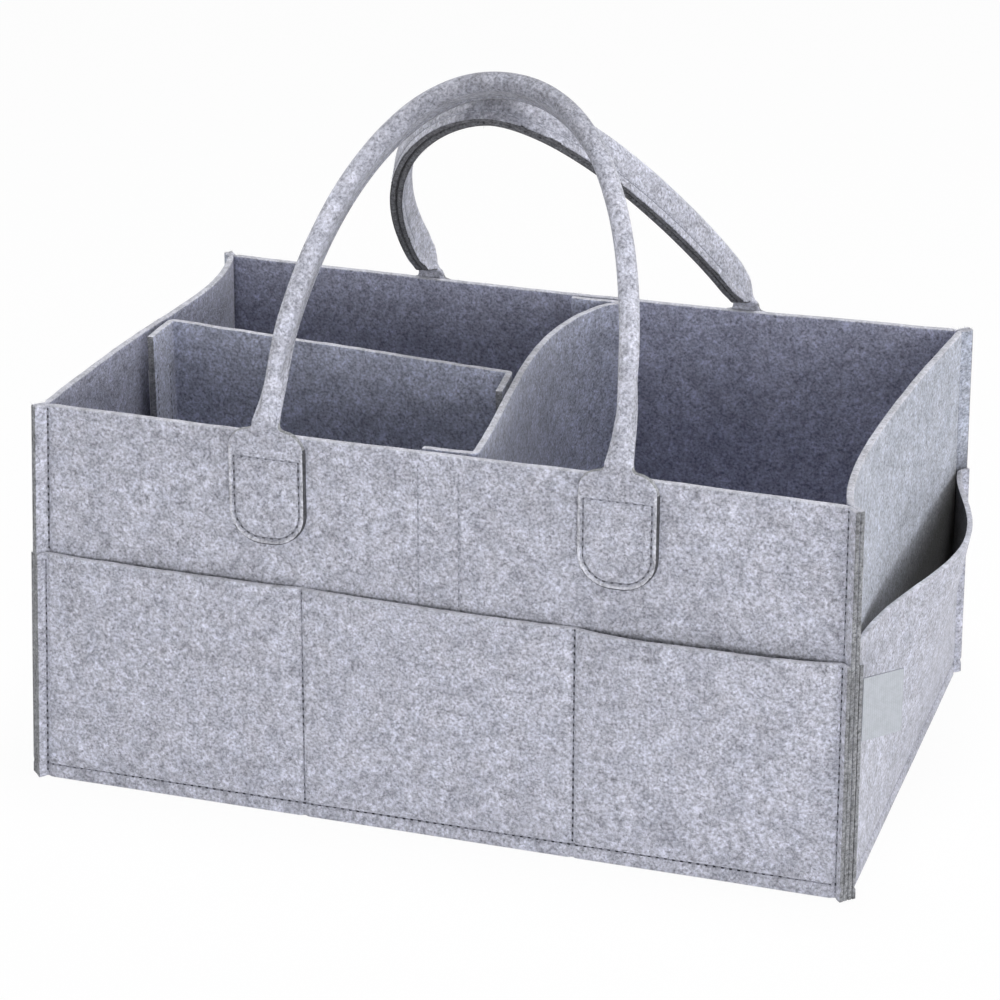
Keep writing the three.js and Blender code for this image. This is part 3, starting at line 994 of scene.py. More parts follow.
@dataclass
class SewnLayer:
    """A felt sheet sewn into the corner seams of one wall."""

    wall: Wall
    depth: float
    thickness: float
    top: float
    swell: Swell
    marks: Sequence[float] = ()
    mark_depth: float = 1.0
    bottom_row: bool = False
    bend_depth: float = 1.1
    lip: float = 0.0
    mark_width: float = 1.15
    bottom_depth: float = 0.9
    bottom_width: float = 1.1
    bend_width: float = 0.26
    deepest: float = 1.3

    def bend(self, z: float, depth: float) -> float:
        """Half the length between the corner bends, at a height and a depth."""
        return self.wall.half_span(z) + depth - math.sqrt(2.0) * BOX.folded(depth)

    def path(self, z: float, stations: np.ndarray) -> np.ndarray:
        """Finds the sheet's middle line at a height, from raw edge to raw edge.

        Args:
            z: The height.
            stations: Places between the corner bends, from -1 to 1.

        Returns:
            Rows of length along the wall and distance out.
        """
        depth = self.depth + self.thickness / 2
        bend = self.bend(z, depth)
        out = self.wall.face(z) + depth
        flat = bend - BOX.seam_bend
        u = stations * flat
        v = out + self.swell((u / bend + 1.0) / 2.0, z)
        edge = self.wall.seam_edge(z, depth)
        corner = np.array([bend, out])
        flange = self.flange(np.array([flat, v[-1]]), corner, edge)
        mirror = self.flange(np.array([flat, v[0]]), corner, edge)[::-1] * np.array([-1.0, 1.0])
        return np.concatenate([mirror, np.stack([u, v], axis=1), flange])

    @staticmethod
    def flange(start: np.ndarray, corner: np.ndarray, edge: np.ndarray) -> np.ndarray:
        """Rounds the bend into the seam and runs out to the raw edge.

        Args:
            start: Where the bend starts.
            corner: The bend's sharp corner.
            edge: The raw edge.

        Returns:
            Points from just after the start to the edge.
        """
        way = (edge - corner) / np.linalg.norm(edge - corner)
        landing = corner + BOX.seam_bend * way
        t = BEND_STEPS[:, None]
        curve = (1 - t) ** 2 * start + 2 * t * (1 - t) * corner + t**2 * landing
        run = np.linspace(0.0, 1.0, 6)[1:, None]
        run = np.concatenate([run[:-1], [[0.88]], run[-1:]])
        return np.concatenate([curve, landing + (edge - landing) * run])

    @staticmethod
    def felt_left(count: int) -> np.ndarray:
        """Gives the share of the felt's thickness that the corner seams leave.

        Args:
            count: How many places the sheet's line has.

        Returns:
            The share at each place, 1 between the corner bends.
        """
        bends = 1.0 - (1.0 - BOX.seam_squeeze) * BEND_STEPS
        end = np.concatenate([bends, np.full(FLANGE_STEPS, BOX.seam_squeeze)])
        return np.concatenate([end[::-1], np.ones(count - 2 * len(end)), end])

    def grids(self) -> tuple[np.ndarray, np.ndarray, np.ndarray]:
        """Shapes the sheet's two faces, with its seams pulled in and its edges a little uneven.

        Returns:
            The outer face, the inner face and the outward direction, as grids of points.
        """
        rows = graded(0.0, self.top, 8.0, (BOX.bottom_stitch,) if self.bottom_row else ())
        flat = self.bend(self.top / 2, self.depth) - BOX.seam_bend
        stations = graded(-flat, flat, 7.0, self.marks) / flat
        outer, inner, outward = [], [], []
        for z in rows:
            plan = self.path(float(z), stations)
            normal = left_hand(plan)
            wander = WALL_WANDER.at(at_height(plan, z))
            plan = plan + normal * wander[:, None]
            uneven = WALL_RIM.at(at_height(plan, z))
            raised = self.lip * np.clip(0.75 - plan[:, 0] / LIP_FADE, 0.0, 1.0) * (z / self.top) ** 2
            height = z + uneven * near_rim(self.top - z) + raised
            dent = self.dent(plan[:, 0], float(z))
            half = self.thickness / 2 * self.felt_left(len(plan))
            outer.append(self.wall.place(plan + normal * (half + dent)[:, None], height))
            inner.append(self.wall.place(plan - normal * half[:, None], height))
            outward.append(self.wall.place(normal, np.zeros(len(plan))))
        return np.array(outer), np.array(inner), np.array(outward)

    def dent(self, u: np.ndarray, z: float) -> np.ndarray:
        """Gives how far the outer face is pulled in by its seams.

        Args:
            u: Places along the wall.
            z: The height.

        Returns:
            The dent at each place, below 0.
        """
        total = np.zeros(len(u))
        for mark in self.marks:
            total += groove(u - mark, self.mark_depth, self.mark_width)
        if self.bottom_row:
            from_row = np.full(len(u), z - BOX.bottom_stitch)
            total += groove(from_row, self.bottom_depth, self.bottom_width)
        pulled = groove(BEND_STEPS - 0.5, self.bend_depth, self.bend_width)
        flange = len(BEND_STEPS) + FLANGE_STEPS
        total[-flange:-FLANGE_STEPS] += pulled
        total[FLANGE_STEPS:flange] += pulled[::-1]
        return np.maximum(total, -self.deepest)

    def build(self, name: str, wardrobe: Wardrobe) -> bpy.types.Object:
        """Makes the sheet.

        Args:
            name: The piece's name.
            wardrobe: The materials.

        Returns:
            The piece.
        """
        outer, inner, _ = self.grids()
        faces, picks = slab_faces(*outer.shape[:2])
        points = np.concatenate([outer.reshape(-1, 3), inner.reshape(-1, 3)])
        bare = wardrobe.end_wall if self.wall.is_end else wardrobe.long_wall
        # A pocket's inner face takes near-black felt, painted shade inside the pocket; a wall takes its
        # outside felt, with painted shade below the pocket mouths, and the darker inside felt.
        faced = (wardrobe.outer, wardrobe.pocket_shade) if self.bottom_row else (bare, wardrobe.inner)
        skins = [*faced, wardrobe.rim, wardrobe.cut]
        piece = make_piece(name, points, faces, skins, picks, CUT_ROUNDING)
        heights = np.linspace(0.0, self.top, 13)
        lengths = [self.length(float(z)) for z in heights]
        LOG.info("%s: cut %.1f by %.1f mm", name, max(lengths), self.top + self.lip)
        return piece

    def length(self, z: float) -> float:
        """Measures the sheet along its middle line at a height."""
        steps = np.diff(self.path(z, FINE_STATIONS), axis=0)
        return float(np.linalg.norm(steps, axis=1).sum())

    def column_seam(self, u: float, low: float, high: float) -> Seam:
        """Finds an upright row of stitches on the outer face.

        Args:
            u: Its place along the wall.
            low: Its lower end.
            high: Its upper end.

        Returns:
            The row.
        """
        heights = np.linspace(low, high, max(3, int((high - low) / 3.0)))
        line, facing = [], []
        for z in heights:
            plan = self.path(float(z), FINE_STATIONS)
            out = np.interp(u, plan[:, 0], plan[:, 1]) + self.thickness / 2 - 0.9 * self.mark_depth
            line.append(self.wall.place(np.array([[u, out]]), np.array([z]))[0])
            facing.append(self.wall.place(np.array([[0.0, 1.0]]), np.zeros(1))[0])
        return Seam(np.array(line), np.array(facing))

    def bottom_seam(self) -> Seam:
        """Finds the row of stitches along the bottom of the outer face."""
        plan = self.path(BOX.bottom_stitch, np.linspace(-1.0, 1.0, 120))
        flange = len(BEND_STEPS) + FLANGE_STEPS
        plan = plan[flange:-flange]
        plan = plan + np.array([0.0, self.thickness / 2 - 0.8])
        line = self.wall.place(plan, np.full(len(plan), BOX.bottom_stitch))
        facing = self.wall.place(np.tile([[0.0, 1.0]], (len(plan), 1)), np.zeros(len(plan)))
        return Seam(line, facing)

    def corner_seam(self, end: int, high: float) -> Seam:
        """Finds the row of stitches in the corner bend.

        Args:
            end: -1 at the wall's start and 1 at its end.
            high: The row's upper end.

        Returns:
            The row.
        """
        inset = FLANGE_STEPS + len(BEND_STEPS) // 2
        pick = inset if end < 0 else -inset - 1
        line, facing = [], []
        for z in np.linspace(3.0, high - 2.0, int(high / 4.0)):
            plan = self.path(float(z), np.linspace(-1.0, 1.0, 3))
            normal = left_hand(plan)[pick]
            half = self.thickness / 2 * self.felt_left(len(plan))[pick]
            spot = plan[pick] + normal * (half - self.bend_depth + 0.1)
            line.append(self.wall.place(spot[None], np.array([z]))[0])
            facing.append(self.wall.place(normal[None], np.zeros(1))[0])
        return Seam(np.array(line), np.array(facing))


@dataclass(frozen=True)
class PocketShape:
    """How the outer pockets stand open."""

    seam_spacing: float = 128.0
    front_seam_shift: float = 3.0
    front_swells: tuple[float, float, float] = (2.0, 2.3, 4.8)
    front_lip: float = 1.6
    back_swells: tuple[float, float, float] = (10.0, 10.0, 10.0)
    long_flatness: float = 4.0
    end_swell: float = 19.5
    end_peak: float = 0.62
    end_fullness: float = 1.5

    def growth(self, z: float) -> float:
        """How far a pocket has opened at a height, from 0 at the base to 1 at its mouth."""
        return max(0.0, (z - BOX.base_top) / (BOX.pocket_top - BOX.base_top))

    def seam_shift(self, wall: Wall) -> float:
        """How far to the right the seams between the pockets of a long wall are sewn."""
        return self.front_seam_shift if wall.side is Side.FRONT else 0.0

    def long(self, wall: Wall) -> Swell:
        """Gives the swell of the three pockets on a long wall.

        Args:
            wall: The wall.

        Returns:
            The distance outside the wall's straight line, by place and height.
        """
        first, middle, last = self.front_swells if wall.side is Side.FRONT else self.back_swells
        seam = self.seam_spacing / 2
        shift = self.seam_shift(wall)

        def swell(t: np.ndarray, z: float) -> np.ndarray:
            """Swells each pocket evenly between its seams."""
            along = (2.0 * t - 1.0) * BOX.inside_width / 2 - shift
            place = np.abs(along)
            reach = BOX.inside_width / 2 - np.sign(along) * shift
            fullest = np.select([along < -seam, along > seam], [first, last], middle)
            beyond = 2.0 * (place - seam) / (reach - seam) - 1.0
            across = np.where(place > seam, beyond, place / seam)
            shape = np.clip(1.0 - np.abs(across) ** self.long_flatness, 0.0, 1.0)
            return fullest * shape * self.growth(z) - wall.inward(t, z)

        return swell

    def end(self, wall: Wall) -> Swell:
        """Gives the swell of the wide pocket on an end wall.

        Args:
            wall: The wall.

        Returns:
            The distance outside the wall's straight line, by place and height.
        """

        def swell(t: np.ndarray, z: float) -> np.ndarray:
            """Lies along the bowed wall near the front and stands open toward the back."""
            from_front = t if wall.side is Side.RIGHT else 1.0 - t
            open_share = bow_shape(from_front, self.end_peak, self.end_fullness)
            opened = self.end_swell * open_share * self.growth(z)
            return opened - wall.inward(t, z) * (1.0 - open_share)

        return swell


POCKETS = PocketShape()
TAPE_ROWS = {Side.FRONT: (-6.0, 12.8), Side.BACK: (-18.4, 0.4), Side.LEFT: (-6.9, 11.9)}


class SewnBox:
    """The box: four walls, the base, the outer pockets and the seams that join them."""

    def __init__(self, wardrobe: Wardrobe) -> None:
        """Keeps the materials and sets up the layers.

        Args:
            wardrobe: The materials.
        """
        self.wardrobe = wardrobe
        self.walls = {side: self.wall_layer(wall) for side, wall in WALLS.items()}
        self.pockets = {side: self.pocket_layer(wall) for side, wall in WALLS.items()}

    @staticmethod
    def wall_layer(wall: Wall) -> SewnLayer:
        """Sets up a wall's felt."""
        return SewnLayer(
            wall,
            0.0,
            BOX.panel_felt,
            BOX.wall_height,
            lambda t, z: -wall.inward(t, z),
            TAPE_ROWS.get(wall.side, ()),
            mark_depth=0.15,
        )

    @staticmethod
    def pocket_layer(wall: Wall) -> SewnLayer:
        """Sets up the pocket felt outside a wall.

        Args:
            wall: The wall.

        Returns:
            The layer.
        """
        depth = BOX.panel_felt + BOX.sewn_gap
        seam = POCKETS.seam_spacing / 2
        shift = POCKETS.seam_shift(wall)
        marks = () if wall.is_end else (shift - seam, shift + seam)
        swell = POCKETS.end(wall) if wall.is_end else POCKETS.long(wall)
        lip = POCKETS.front_lip if wall.side is Side.FRONT else 0.0
        return SewnLayer(
            wall, depth, BOX.pocket_felt, BOX.pocket_top, swell, marks, bottom_row=True, lip=lip
        )

    @staticmethod
    def wall_node(side: Side) -> str:
        """Names the solid of a wall."""
        word = side.name.lower()
        return f"{word}_end_panel" if WALLS[side].is_end else f"{word}_panel"

    def build(self) -> None:
        """Makes the walls, the base, the pockets and their stitches."""
        for side in Side:
            word = side.name.lower()
            wall = self.walls[side].build(f"{word}_wall_felt", self.wardrobe)
            settle(wall, Body.SHELL, Slot.FELT, self.wall_node(side))
            pocket = self.pockets[side].build(f"{word}_pocket_felt", self.wardrobe)
            settle(pocket, Body.SHELL, Slot.FELT, f"{word}_pocket")
            stitches = THREAD.stitch(self.seams(side), f"{word}_seam_stitches", self.wardrobe.sewing)
            settle(stitches, Body.SHELL, Slot.FELT)
            rows = self.faint_seams(side)
            faint = THREAD.stitch(rows, f"{word}_faint_stitches", self.wardrobe.faint_sewing)
            settle(faint, Body.SHELL, Slot.FELT)
            for layer, part in ((self.walls[side], "wall"), (self.pockets[side], "pocket")):
                outer, inner, _ = layer.grids()
                rim = np.stack([outer[-1], inner[-1]])
                upward = np.broadcast_to([0.0, 0.0, 1.0], rim.shape)
                fuzz = FUZZ.scatter(f"{word}_{part}_fuzz", rim, upward, FUZZ.on_rim, self.wardrobe.rim)
                settle(fuzz, Body.SHELL, Slot.FELT)
        settle(self.base(), Body.SHELL, Slot.FELT, "base_panel")

    def seams(self, side: Side) -> list[Seam]:
        """Lists the rows of stitches that show well on one side.

        Args:
            side: The side.

        Returns:
            The rows.
        """
        pocket = self.pockets[side]
        wall = self.walls[side]
        rows = [] if wall.wall.is_end else [pocket.bottom_seam()]
        rows += [pocket.column_seam(mark, 8.0, BOX.pocket_top - 0.6) for mark in pocket.marks]
        for end in (-1, 1):
            rows.append(pocket.corner_seam(end, BOX.pocket_top))
            upper = wall.corner_seam(end, BOX.wall_height)
            above = upper.line[:, 2] > BOX.pocket_top + 0.5
            rows.append(Seam(upper.line[above], upper.facing[above]))
        return rows

    def faint_seams(self, side: Side) -> list[Seam]:
        """Lists the rows of stitches that hardly show on one side.

        Args:
            side: The side.

        Returns:
            The rows.
        """
        wall = self.walls[side]
        rows = [self.pockets[side].bottom_seam()] if wall.wall.is_end else []
        low, high = BOX.pocket_top + 2.0, BOX.wall_height - 8.0
        rows += [wall.column_seam(mark, low, high) for mark in wall.marks]
        return rows

    def base(self) -> bpy.types.Object:
        """Makes the base: a flat sheet, a little sunk, whose edges turn down behind the walls.

        Returns:
            The piece.
        """
        half = np.array([BOX.half_width(BOX.base_top), BOX.half_depth(BOX.base_top)]) - BOX.sewn_gap
        skirt = (0.0, BOX.base_top * 0.4, BOX.base_top * 0.7, BOX.base_top - 1.4)
        ring = [(1.0, z) for z in skirt] + [(0.9985, BOX.base_top - 0.5), (0.995, BOX.base_top)]
        ring += [(share, BOX.base_top) for share in (0.985, 0.96, 0.9, 0.8, 0.65, 0.5, 0.35, 0.2, 0.08)]
        square = self.square(24)
        outer, inner = [], []
        for share, z in ring:
            plan = square * half * share
            sag = BASE_SAG.at(at_height(plan, z)) * (share < 0.99)
            outer.append(np.column_stack([plan, z + sag]))
            deep = square * (half * share - BOX.base_felt)
            inner.append(np.column_stack([deep, min(z, BOX.base_rise) + np.minimum(sag, 0.0)]))
        count = len(square)
        middles = [[0.0, 0.0, BOX.base_top], [0.0, 0.0, BOX.base_rise]]
        points = np.concatenate([*outer, *inner, middles])
        back = count * len(ring)
        faces = tube_faces(0, len(ring), count)
        faces += [face[::-1] for face in tube_faces(back, len(ring), count)]
        picks = [0] * len(faces)
        for step in range(count):
            following = (step + 1) % count
            faces.append((step, following, back + following, back + step))
            top = (len(ring) - 1) * count
            faces.append((top + step, top + following, 2 * back))
            faces.append((back + top + following, back + top + step, 2 * back + 1))
            picks += [1, 0, 0]
        skins = [self.wardrobe.inner, self.wardrobe.cut]
        piece = make_piece("base_felt", BOX.stance(points), faces, skins, picks)
        return piece

    @staticmethod
    def square(steps: int) -> np.ndarray:
        """Walks round a square from -1 to 1, corner to corner.

        Args:
            steps: Steps along each side.

        Returns:
            Rows of places.
        """
        run = np.linspace(-1.0, 1.0, steps, endpoint=False)
        low = np.full(steps, -1.0)
        sides = [(run, low), (-low, run), (-run, -low), (low, -run)]
        return np.concatenate([np.column_stack(side) for side in sides])


@dataclass(frozen=True)
class HandleShape:
    """Sizes that both handles share."""

    half_span: float = 81.0
    strap_width: float = 18.5
    neck_width: float = 13.0
    strap_fold: float = 9.0
    strap_edge: float = 6.0
    hinge_height: float = 190.0
    tab_felt: float = 3.0
    tab_width: float = 36.5
    tab_bottom: float = 132.5
    tab_round: float = 15.5
    shoulder_round: float = 10.0
    neck_fillet: float = 2.6
    sway_turn: float = 125.0
    stitch_inset: float = 2.9
    stitch_row: float = 173.0
    rim_shows: float = 178.0
    arch_foot: float = 3.9
    grip_foot: float = 9.0
    rows_from: float = 18.0
    fuzz_from: float = 40.0
    flat_width: float = 43.4
    row_inset: float = 4.4
    row_dent: float = 0.35
    row_width: float = 0.9
    tab_dent: float = 0.9
    tab_dent_width: float = 1.0
    rim_drop: float = 0.5
    rim_width: float = 1.1
    edge_round: float = 0.7
    edge_drop: float = 0.35
    slit_depth: float = 2.4
    slit_width: float = 0.4
    dark_rim: float = 0.7
    highlight_reach: float = 1.9
    thread_depth: float = 0.78

    @property
    def to_tab(self) -> float:
        """From a wall's inner face to the middle of a tab's felt."""
        return BOX.panel_felt + BOX.sewn_gap + self.tab_felt / 2

    @property
    def grip_row(self) -> float:
        """Place of a grip's stitch row across the strap, from 0 in the middle to 1 at its edge."""
        return 1.0 - 2.0 * self.row_inset / self.flat_width

    @property
    def spread(self) -> np.ndarray:
        """Places across the strap, from 1 to -1, close together at its edges and stitch rows."""
        edge = self.tab_width / 2
        half = graded(0.0, edge, 1.15, (edge - self.stitch_inset, edge - 0.6)) / edge
        return np.concatenate([half[::-1], -half[1:]])

    def tab_outline(self, shoulder: float) -> list[tuple[float, float]]:
        """Walks up the tab's edge.

        Args:
            shoulder: The height of its shoulders.

        Returns:
            Half widths and heights, from the bottom to the neck.
        """
        half = self.tab_width / 2
        neck = self.neck_width / 2
        edge = []
        for angle in np.linspace(-90.0, 0.0, 34):
            turn = math.radians(angle)
            edge.append((half - self.tab_round + self.tab_round * math.cos(turn),
                         self.tab_bottom + self.tab_round + self.tab_round * math.sin(turn)))
        low = self.tab_bottom + self.tab_round
        high = shoulder - self.shoulder_round
        edge += [(half, float(z)) for z in graded(low, high, 2.5, (self.stitch_row,))[1:-1]]
        for angle in np.linspace(0.0, 82.0, 12):
            turn = math.radians(angle)
            edge.append((half - self.shoulder_round + self.shoulder_round * math.cos(turn),
                         high + self.shoulder_round * math.sin(turn)))
        for angle in np.linspace(70.0, 0.0, 5):
            turn = math.radians(angle)
            edge.append((neck + self.neck_fillet * (1.0 - math.cos(turn)),
                         shoulder + self.neck_fillet * (1.0 - math.sin(turn)) + 0.1))
        return edge

    def rounding(self, across: np.ndarray, half: float) -> np.ndarray:
        """How far places across a strap have gone round its cut edges, from 0 to 1."""
        beyond = np.abs(across) - (half - self.edge_round)
        return np.clip(beyond / self.edge_round, 0.0, 1.0) ** 2

    def flat_section(self, half: float) -> tuple[np.ndarray, np.ndarray]:
        """Shapes the section of the flat strap.

        Args:
            half: Half its width.

        Returns:
            Places across and out, round the section.
        """
        across = self.spread * half
        out = self.tab_felt / 2 - self.edge_drop * self.rounding(across, half)
        return np.concatenate([across, -across]), np.concatenate([out, -out])

    def folded_section(self) -> tuple[np.ndarray, np.ndarray]:
        """Shapes the section of the folded strap: a round fold outside and two raw edges inside.

        Returns:
            Places across and out, round the section.
        """
        radius = self.strap_fold / 2
        edge = self.strap_edge / 2
        half = self.strap_width / 2
        flank = math.hypot(radius - edge, self.strap_width - radius)
        total = 2.0 * flank + math.pi * radius
        run = (1.0 - self.spread) / 2.0 * total
        turn = np.clip((run - flank) / radius, 0.0, math.pi)
        before = np.clip(run / flank, 0.0, 1.0)
        after = np.clip((run - flank - math.pi * radius) / flank, 0.0, 1.0)
        share = np.where(run < flank, 1.0 - before, after)
        side = np.where(run < total / 2, 1.0, -1.0)
        on_flank = (run < flank) | (run > flank + math.pi * radius)
        across = np.where(on_flank, side * (radius - (radius - edge) * share), radius * np.cos(turn))
        out = np.where(on_flank, half - radius - (self.strap_width - radius) * share,
                       half - radius + radius * np.sin(turn))
        back = -self.spread * edge
        slit = self.slit_depth * np.exp(-((back / self.slit_width) ** 2))
        corner = self.edge_round * self.rounding(back, edge)
        return np.concatenate([across, back]), np.concatenate([out, -half + slit + corner])


HANDLE = HandleShape()


@dataclass
class Handle:
    """One carrying handle: a felt strap sewn flat on the wall at both ends and folded between."""

    word: str
    wall: Wall
    body: Body
    turned: float
    shift: float
    rise: float
    lean: float
    power: float
    sway: float
    twist: float
    neck_fold: float
    fold_length: float
    shoulder: float

    @property
    def hinge(self) -> float:
        """Distance of the hinge line from the middle of the box."""
        ends = [self.wall.inner_face(self.turned * (self.shift + way), HANDLE.hinge_height)
                for way in (-HANDLE.half_span, HANDLE.half_span)]
        return sum(ends) / 2 + HANDLE.to_tab

    def world(self, local: np.ndarray) -> np.ndarray:
        """Turns places in the handle's own frame into points.

        Args:
            local: Rows of along, inward and up from the hinge's middle.

        Returns:
            The points.
        """
        x = self.shift + self.turned * local[:, 0]
        y = self.turned * (local[:, 1] - self.hinge)
        return np.stack([x, y, HANDLE.hinge_height + local[:, 2]], axis=1)

    def facing(self, local: np.ndarray) -> np.ndarray:
        """Turns directions in the handle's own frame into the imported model's."""
        return local * np.array([self.turned, self.turned, 1.0])

    def tab_line(self, x: float, z: float) -> np.ndarray:
        """Finds the middle of a tab's felt in the handle's own frame, by place along and height."""
        reach = self.wall.inner_face(self.turned * self.shift + x, z) + HANDLE.to_tab
        return np.array([x, self.hinge - reach, z - HANDLE.hinge_height])

    def arch(self, steps: int) -> np.ndarray:
        """Walks along the strap's arch in its own plane.

        Args:
            steps: How many steps it takes.

        Returns:
            Rows of place along and height, from the left knuckle to the right one.
        """
        first = math.asin((HANDLE.arch_foot / self.rise) ** (self.power / 2))
        angle = np.linspace(first, math.pi - first, steps + 1)
        height = np.sin(angle) ** (2.0 / self.power)
        drift = self.turned * self.sway * np.sin(math.radians(HANDLE.sway_turn) * height)
        aside = np.abs(np.cos(angle)) ** (2.0 / self.power)
        x = -np.sign(np.cos(angle)) * HANDLE.half_span * aside - drift
        return np.stack([x, self.rise * height], axis=1)

    def rings(self) -> list[tuple[np.ndarray, float, float, bool]]:
        """Lists the strap's cross sections from the left tab over the arch to the right tab.

        Returns:
            For each its middle, half width, share of folding, and whether it is on a tab.
        """
        lean = math.radians(self.lean)
        arch = self.arch(150)
        arch = arch[arch[:, 1] > HANDLE.grip_foot]
        tilt = np.array([[1.0, 0.0, 0.0], [0.0, math.sin(lean), math.cos(lean)]])
        grip = arch @ tilt
        legs = []
        for x, end in ((-HANDLE.half_span, grip[0]), (HANDLE.half_span, grip[-1])):
            edge = HANDLE.tab_outline(self.shoulder)
            leg = [(self.tab_line(x, z), half, 0.0, True) for half, z in edge]
            start = leg[-1][0]
            knee = self.tab_line(x, HANDLE.hinge_height + 1.5)
            for t in np.linspace(0.0, 1.0, 7)[1:-1]:
                spot = (1 - t) ** 2 * start + 2 * t * (1 - t) * knee + t**2 * end
                leg.append((spot, HANDLE.neck_width / 2, self.neck_fold * t, False))
            legs.append(leg)
        crown = []
        for (_, height), spot in zip(arch, grip):
            run = (height - HANDLE.grip_foot) / (self.fold_length - HANDLE.grip_foot)
            share = np.clip(run, 0.0, 1.0)
            fold = self.neck_fold + (1.0 - self.neck_fold) * share * share * (3.0 - 2.0 * share)
            crown.append((spot, HANDLE.neck_width / 2, fold, False))
        return legs[0] + crown + legs[1][::-1]

    def shape(self) -> tuple[np.ndarray, np.ndarray, np.ndarray, np.ndarray]:
        """Shapes the whole strap in the handle's own frame.

        Returns:
            Rings of points, the outward direction at each, which rings are on a tab,
            and which are folded.
        """
        rings = self.rings()
        middles = np.array([ring[0] for ring in rings])
        ahead = np.gradient(middles, axis=0)
        ahead /= np.linalg.norm(ahead, axis=1)[:, None]
        tilt = math.radians(self.lean)
        plane = np.array([0.0, -math.cos(tilt), math.sin(tilt)])
        folded = HANDLE.folded_section()
        shaped = []
        for (middle, half, share, on_tab), way in zip(rings, ahead):
            going_up = middle[0] < 0
            upright = np.array([1.0 if going_up else -1.0, 0.0, 0.0])
            across = upright if share < self.neck_fold else np.cross(way, plane)
            across = across - way * np.dot(across, way)
            across /= np.linalg.norm(across)
            out = np.cross(across, way)
            turn = math.radians(self.twist) * share * way[2]
            level, lift = math.cos(turn), math.sin(turn)
            across, out = level * across - lift * out, level * out + lift * across
            flat = HANDLE.flat_section(half)
            a = (1.0 - share) * flat[0] + share * folded[0]
            n = (1.0 - share) * flat[1] + share * folded[1]
            shaped.append(middle + np.outer(a, across) + np.outer(n, out))
        grid = np.array(shaped)
        along = np.gradient(grid, axis=0)
        around = (np.roll(grid, -1, axis=1) - np.roll(grid, 1, axis=1)) / 2
        outward = np.cross(along, around)
        outward /= np.maximum(np.linalg.norm(outward, axis=2), 1e-9)[:, :, None]
        on_tab = np.array([ring[3] for ring in rings])
        folded_up = np.array([ring[2] > 0.5 for ring in rings])
        return grid, outward, on_tab, folded_up

    def tab_seam(self, x: float) -> list[np.ndarray]:
        """Walks along a tab's stitch rows: a closed bottom loop and a row across its top.

        Args:
            x: The tab's place along the hinge.

        Returns:
            Lines of place across the tab and height.
        """
        half = HANDLE.tab_width / 2 - HANDLE.stitch_inset
        bend = HANDLE.tab_round - HANDLE.stitch_inset
        low = HANDLE.tab_bottom + HANDLE.stitch_inset
        loop = [(half, HANDLE.stitch_row)]
        for angle in np.linspace(0.0, -90.0, 14):
            turn = math.radians(angle)
            loop.append((half - bend + bend * math.cos(turn), low + bend + bend * math.sin(turn)))
        loop += [(-across, z) for across, z in reversed(loop)]
        row = [(-half, HANDLE.stitch_row), (half, HANDLE.stitch_row)]
        return [np.array([[x + across, z] for across, z in line]) for line in (loop, row)]

    def tab_rim(self, x: float) -> np.ndarray:
        """Walks round a tab's cut edge, from one side of its neck to the other.

        Args:
            x: The tab's place along the hinge.

        Returns:
            Rows of place along the hinge and height.
        """
        edge = HANDLE.tab_outline(self.shoulder)
        both = [(-half, z) for half, z in reversed(edge)] + edge
        return np.array([[x + across, z] for across, z in both])

    @staticmethod
    def gap_to(points: np.ndarray, lines: Sequence[np.ndarray]) -> np.ndarray:
        """Measures how far points are from the nearest of some lines.

        Args:
            points: Rows of place along the hinge and height.
            lines: The lines, as rows of the same.

        Returns:
            The distance of each point.
        """
        nearest = np.full(len(points), FAR)
        for line in lines:
            for start, end in zip(line[:-1], line[1:]):
                step = end - start
                share = np.clip(((points - start) @ step) / max(step @ step, 1e-9), 0.0, 1.0)
                gap = np.linalg.norm(points - start - share[:, None] * step, axis=1)
                nearest = np.minimum(nearest, gap)
        return nearest

    def build(self, wardrobe: Wardrobe) -> None:
        """Makes the strap and its stitches.

        Args:
            wardrobe: The materials.
        """
        grid, outward, on_tab, folded_up = self.shape()
        rings, around = grid.shape[:2]
        columns = around // 2
        relief = STRAP_RELIEF.at(grid.reshape(-1, 3)).reshape(rings, around)
        from_row = (np.abs(HANDLE.spread) - HANDLE.grip_row) * HANDLE.flat_width / 2
        relief[~on_tab, :columns] += groove(from_row, HANDLE.row_dent, HANDLE.row_width)
        from_rim = np.full((rings, columns), FAR)
        for x in (-HANDLE.half_span, HANDLE.half_span):
            mine = on_tab & (np.sign(grid[:, 0, 0]) == np.sign(x))
            flat = grid[mine, :columns]
            places = flat[:, :, [0, 2]].reshape(-1, 2) + np.array([0.0, HANDLE.hinge_height])
            edge = self.gap_to(places, [self.tab_rim(x)])
            from_seam = self.gap_to(places, self.tab_seam(x))
            dent = groove(from_seam, HANDLE.tab_dent, HANDLE.tab_dent_width)
            dent -= HANDLE.rim_drop * np.clip(1.0 - edge / HANDLE.rim_width, 0.0, 1.0) ** 2
            relief[mine, :columns] += dent.reshape(flat.shape[:2])
            seen = np.where(places[:, 1] < HANDLE.rim_shows, edge, FAR)
            from_rim[mine] = seen.reshape(flat.shape[:2])
        skin = grid + outward * relief[:, :, None]
        self.strap(skin, on_tab, folded_up, from_rim, wardrobe)
        self.stitches(skin, outward, on_tab, wardrobe)
        high = ~on_tab & (grid[:, 0, 2] > HANDLE.fuzz_from)
        spots = self.world(skin[high, :columns].reshape(-1, 3)).reshape(-1, columns, 3)
        facing = self.facing(outward[high, :columns])
        fuzz = FUZZ.scatter(f"{self.word}_grip_fuzz", spots, facing, FUZZ.on_grip, wardrobe.rim)
        settle(fuzz, self.body, Slot.FELT)

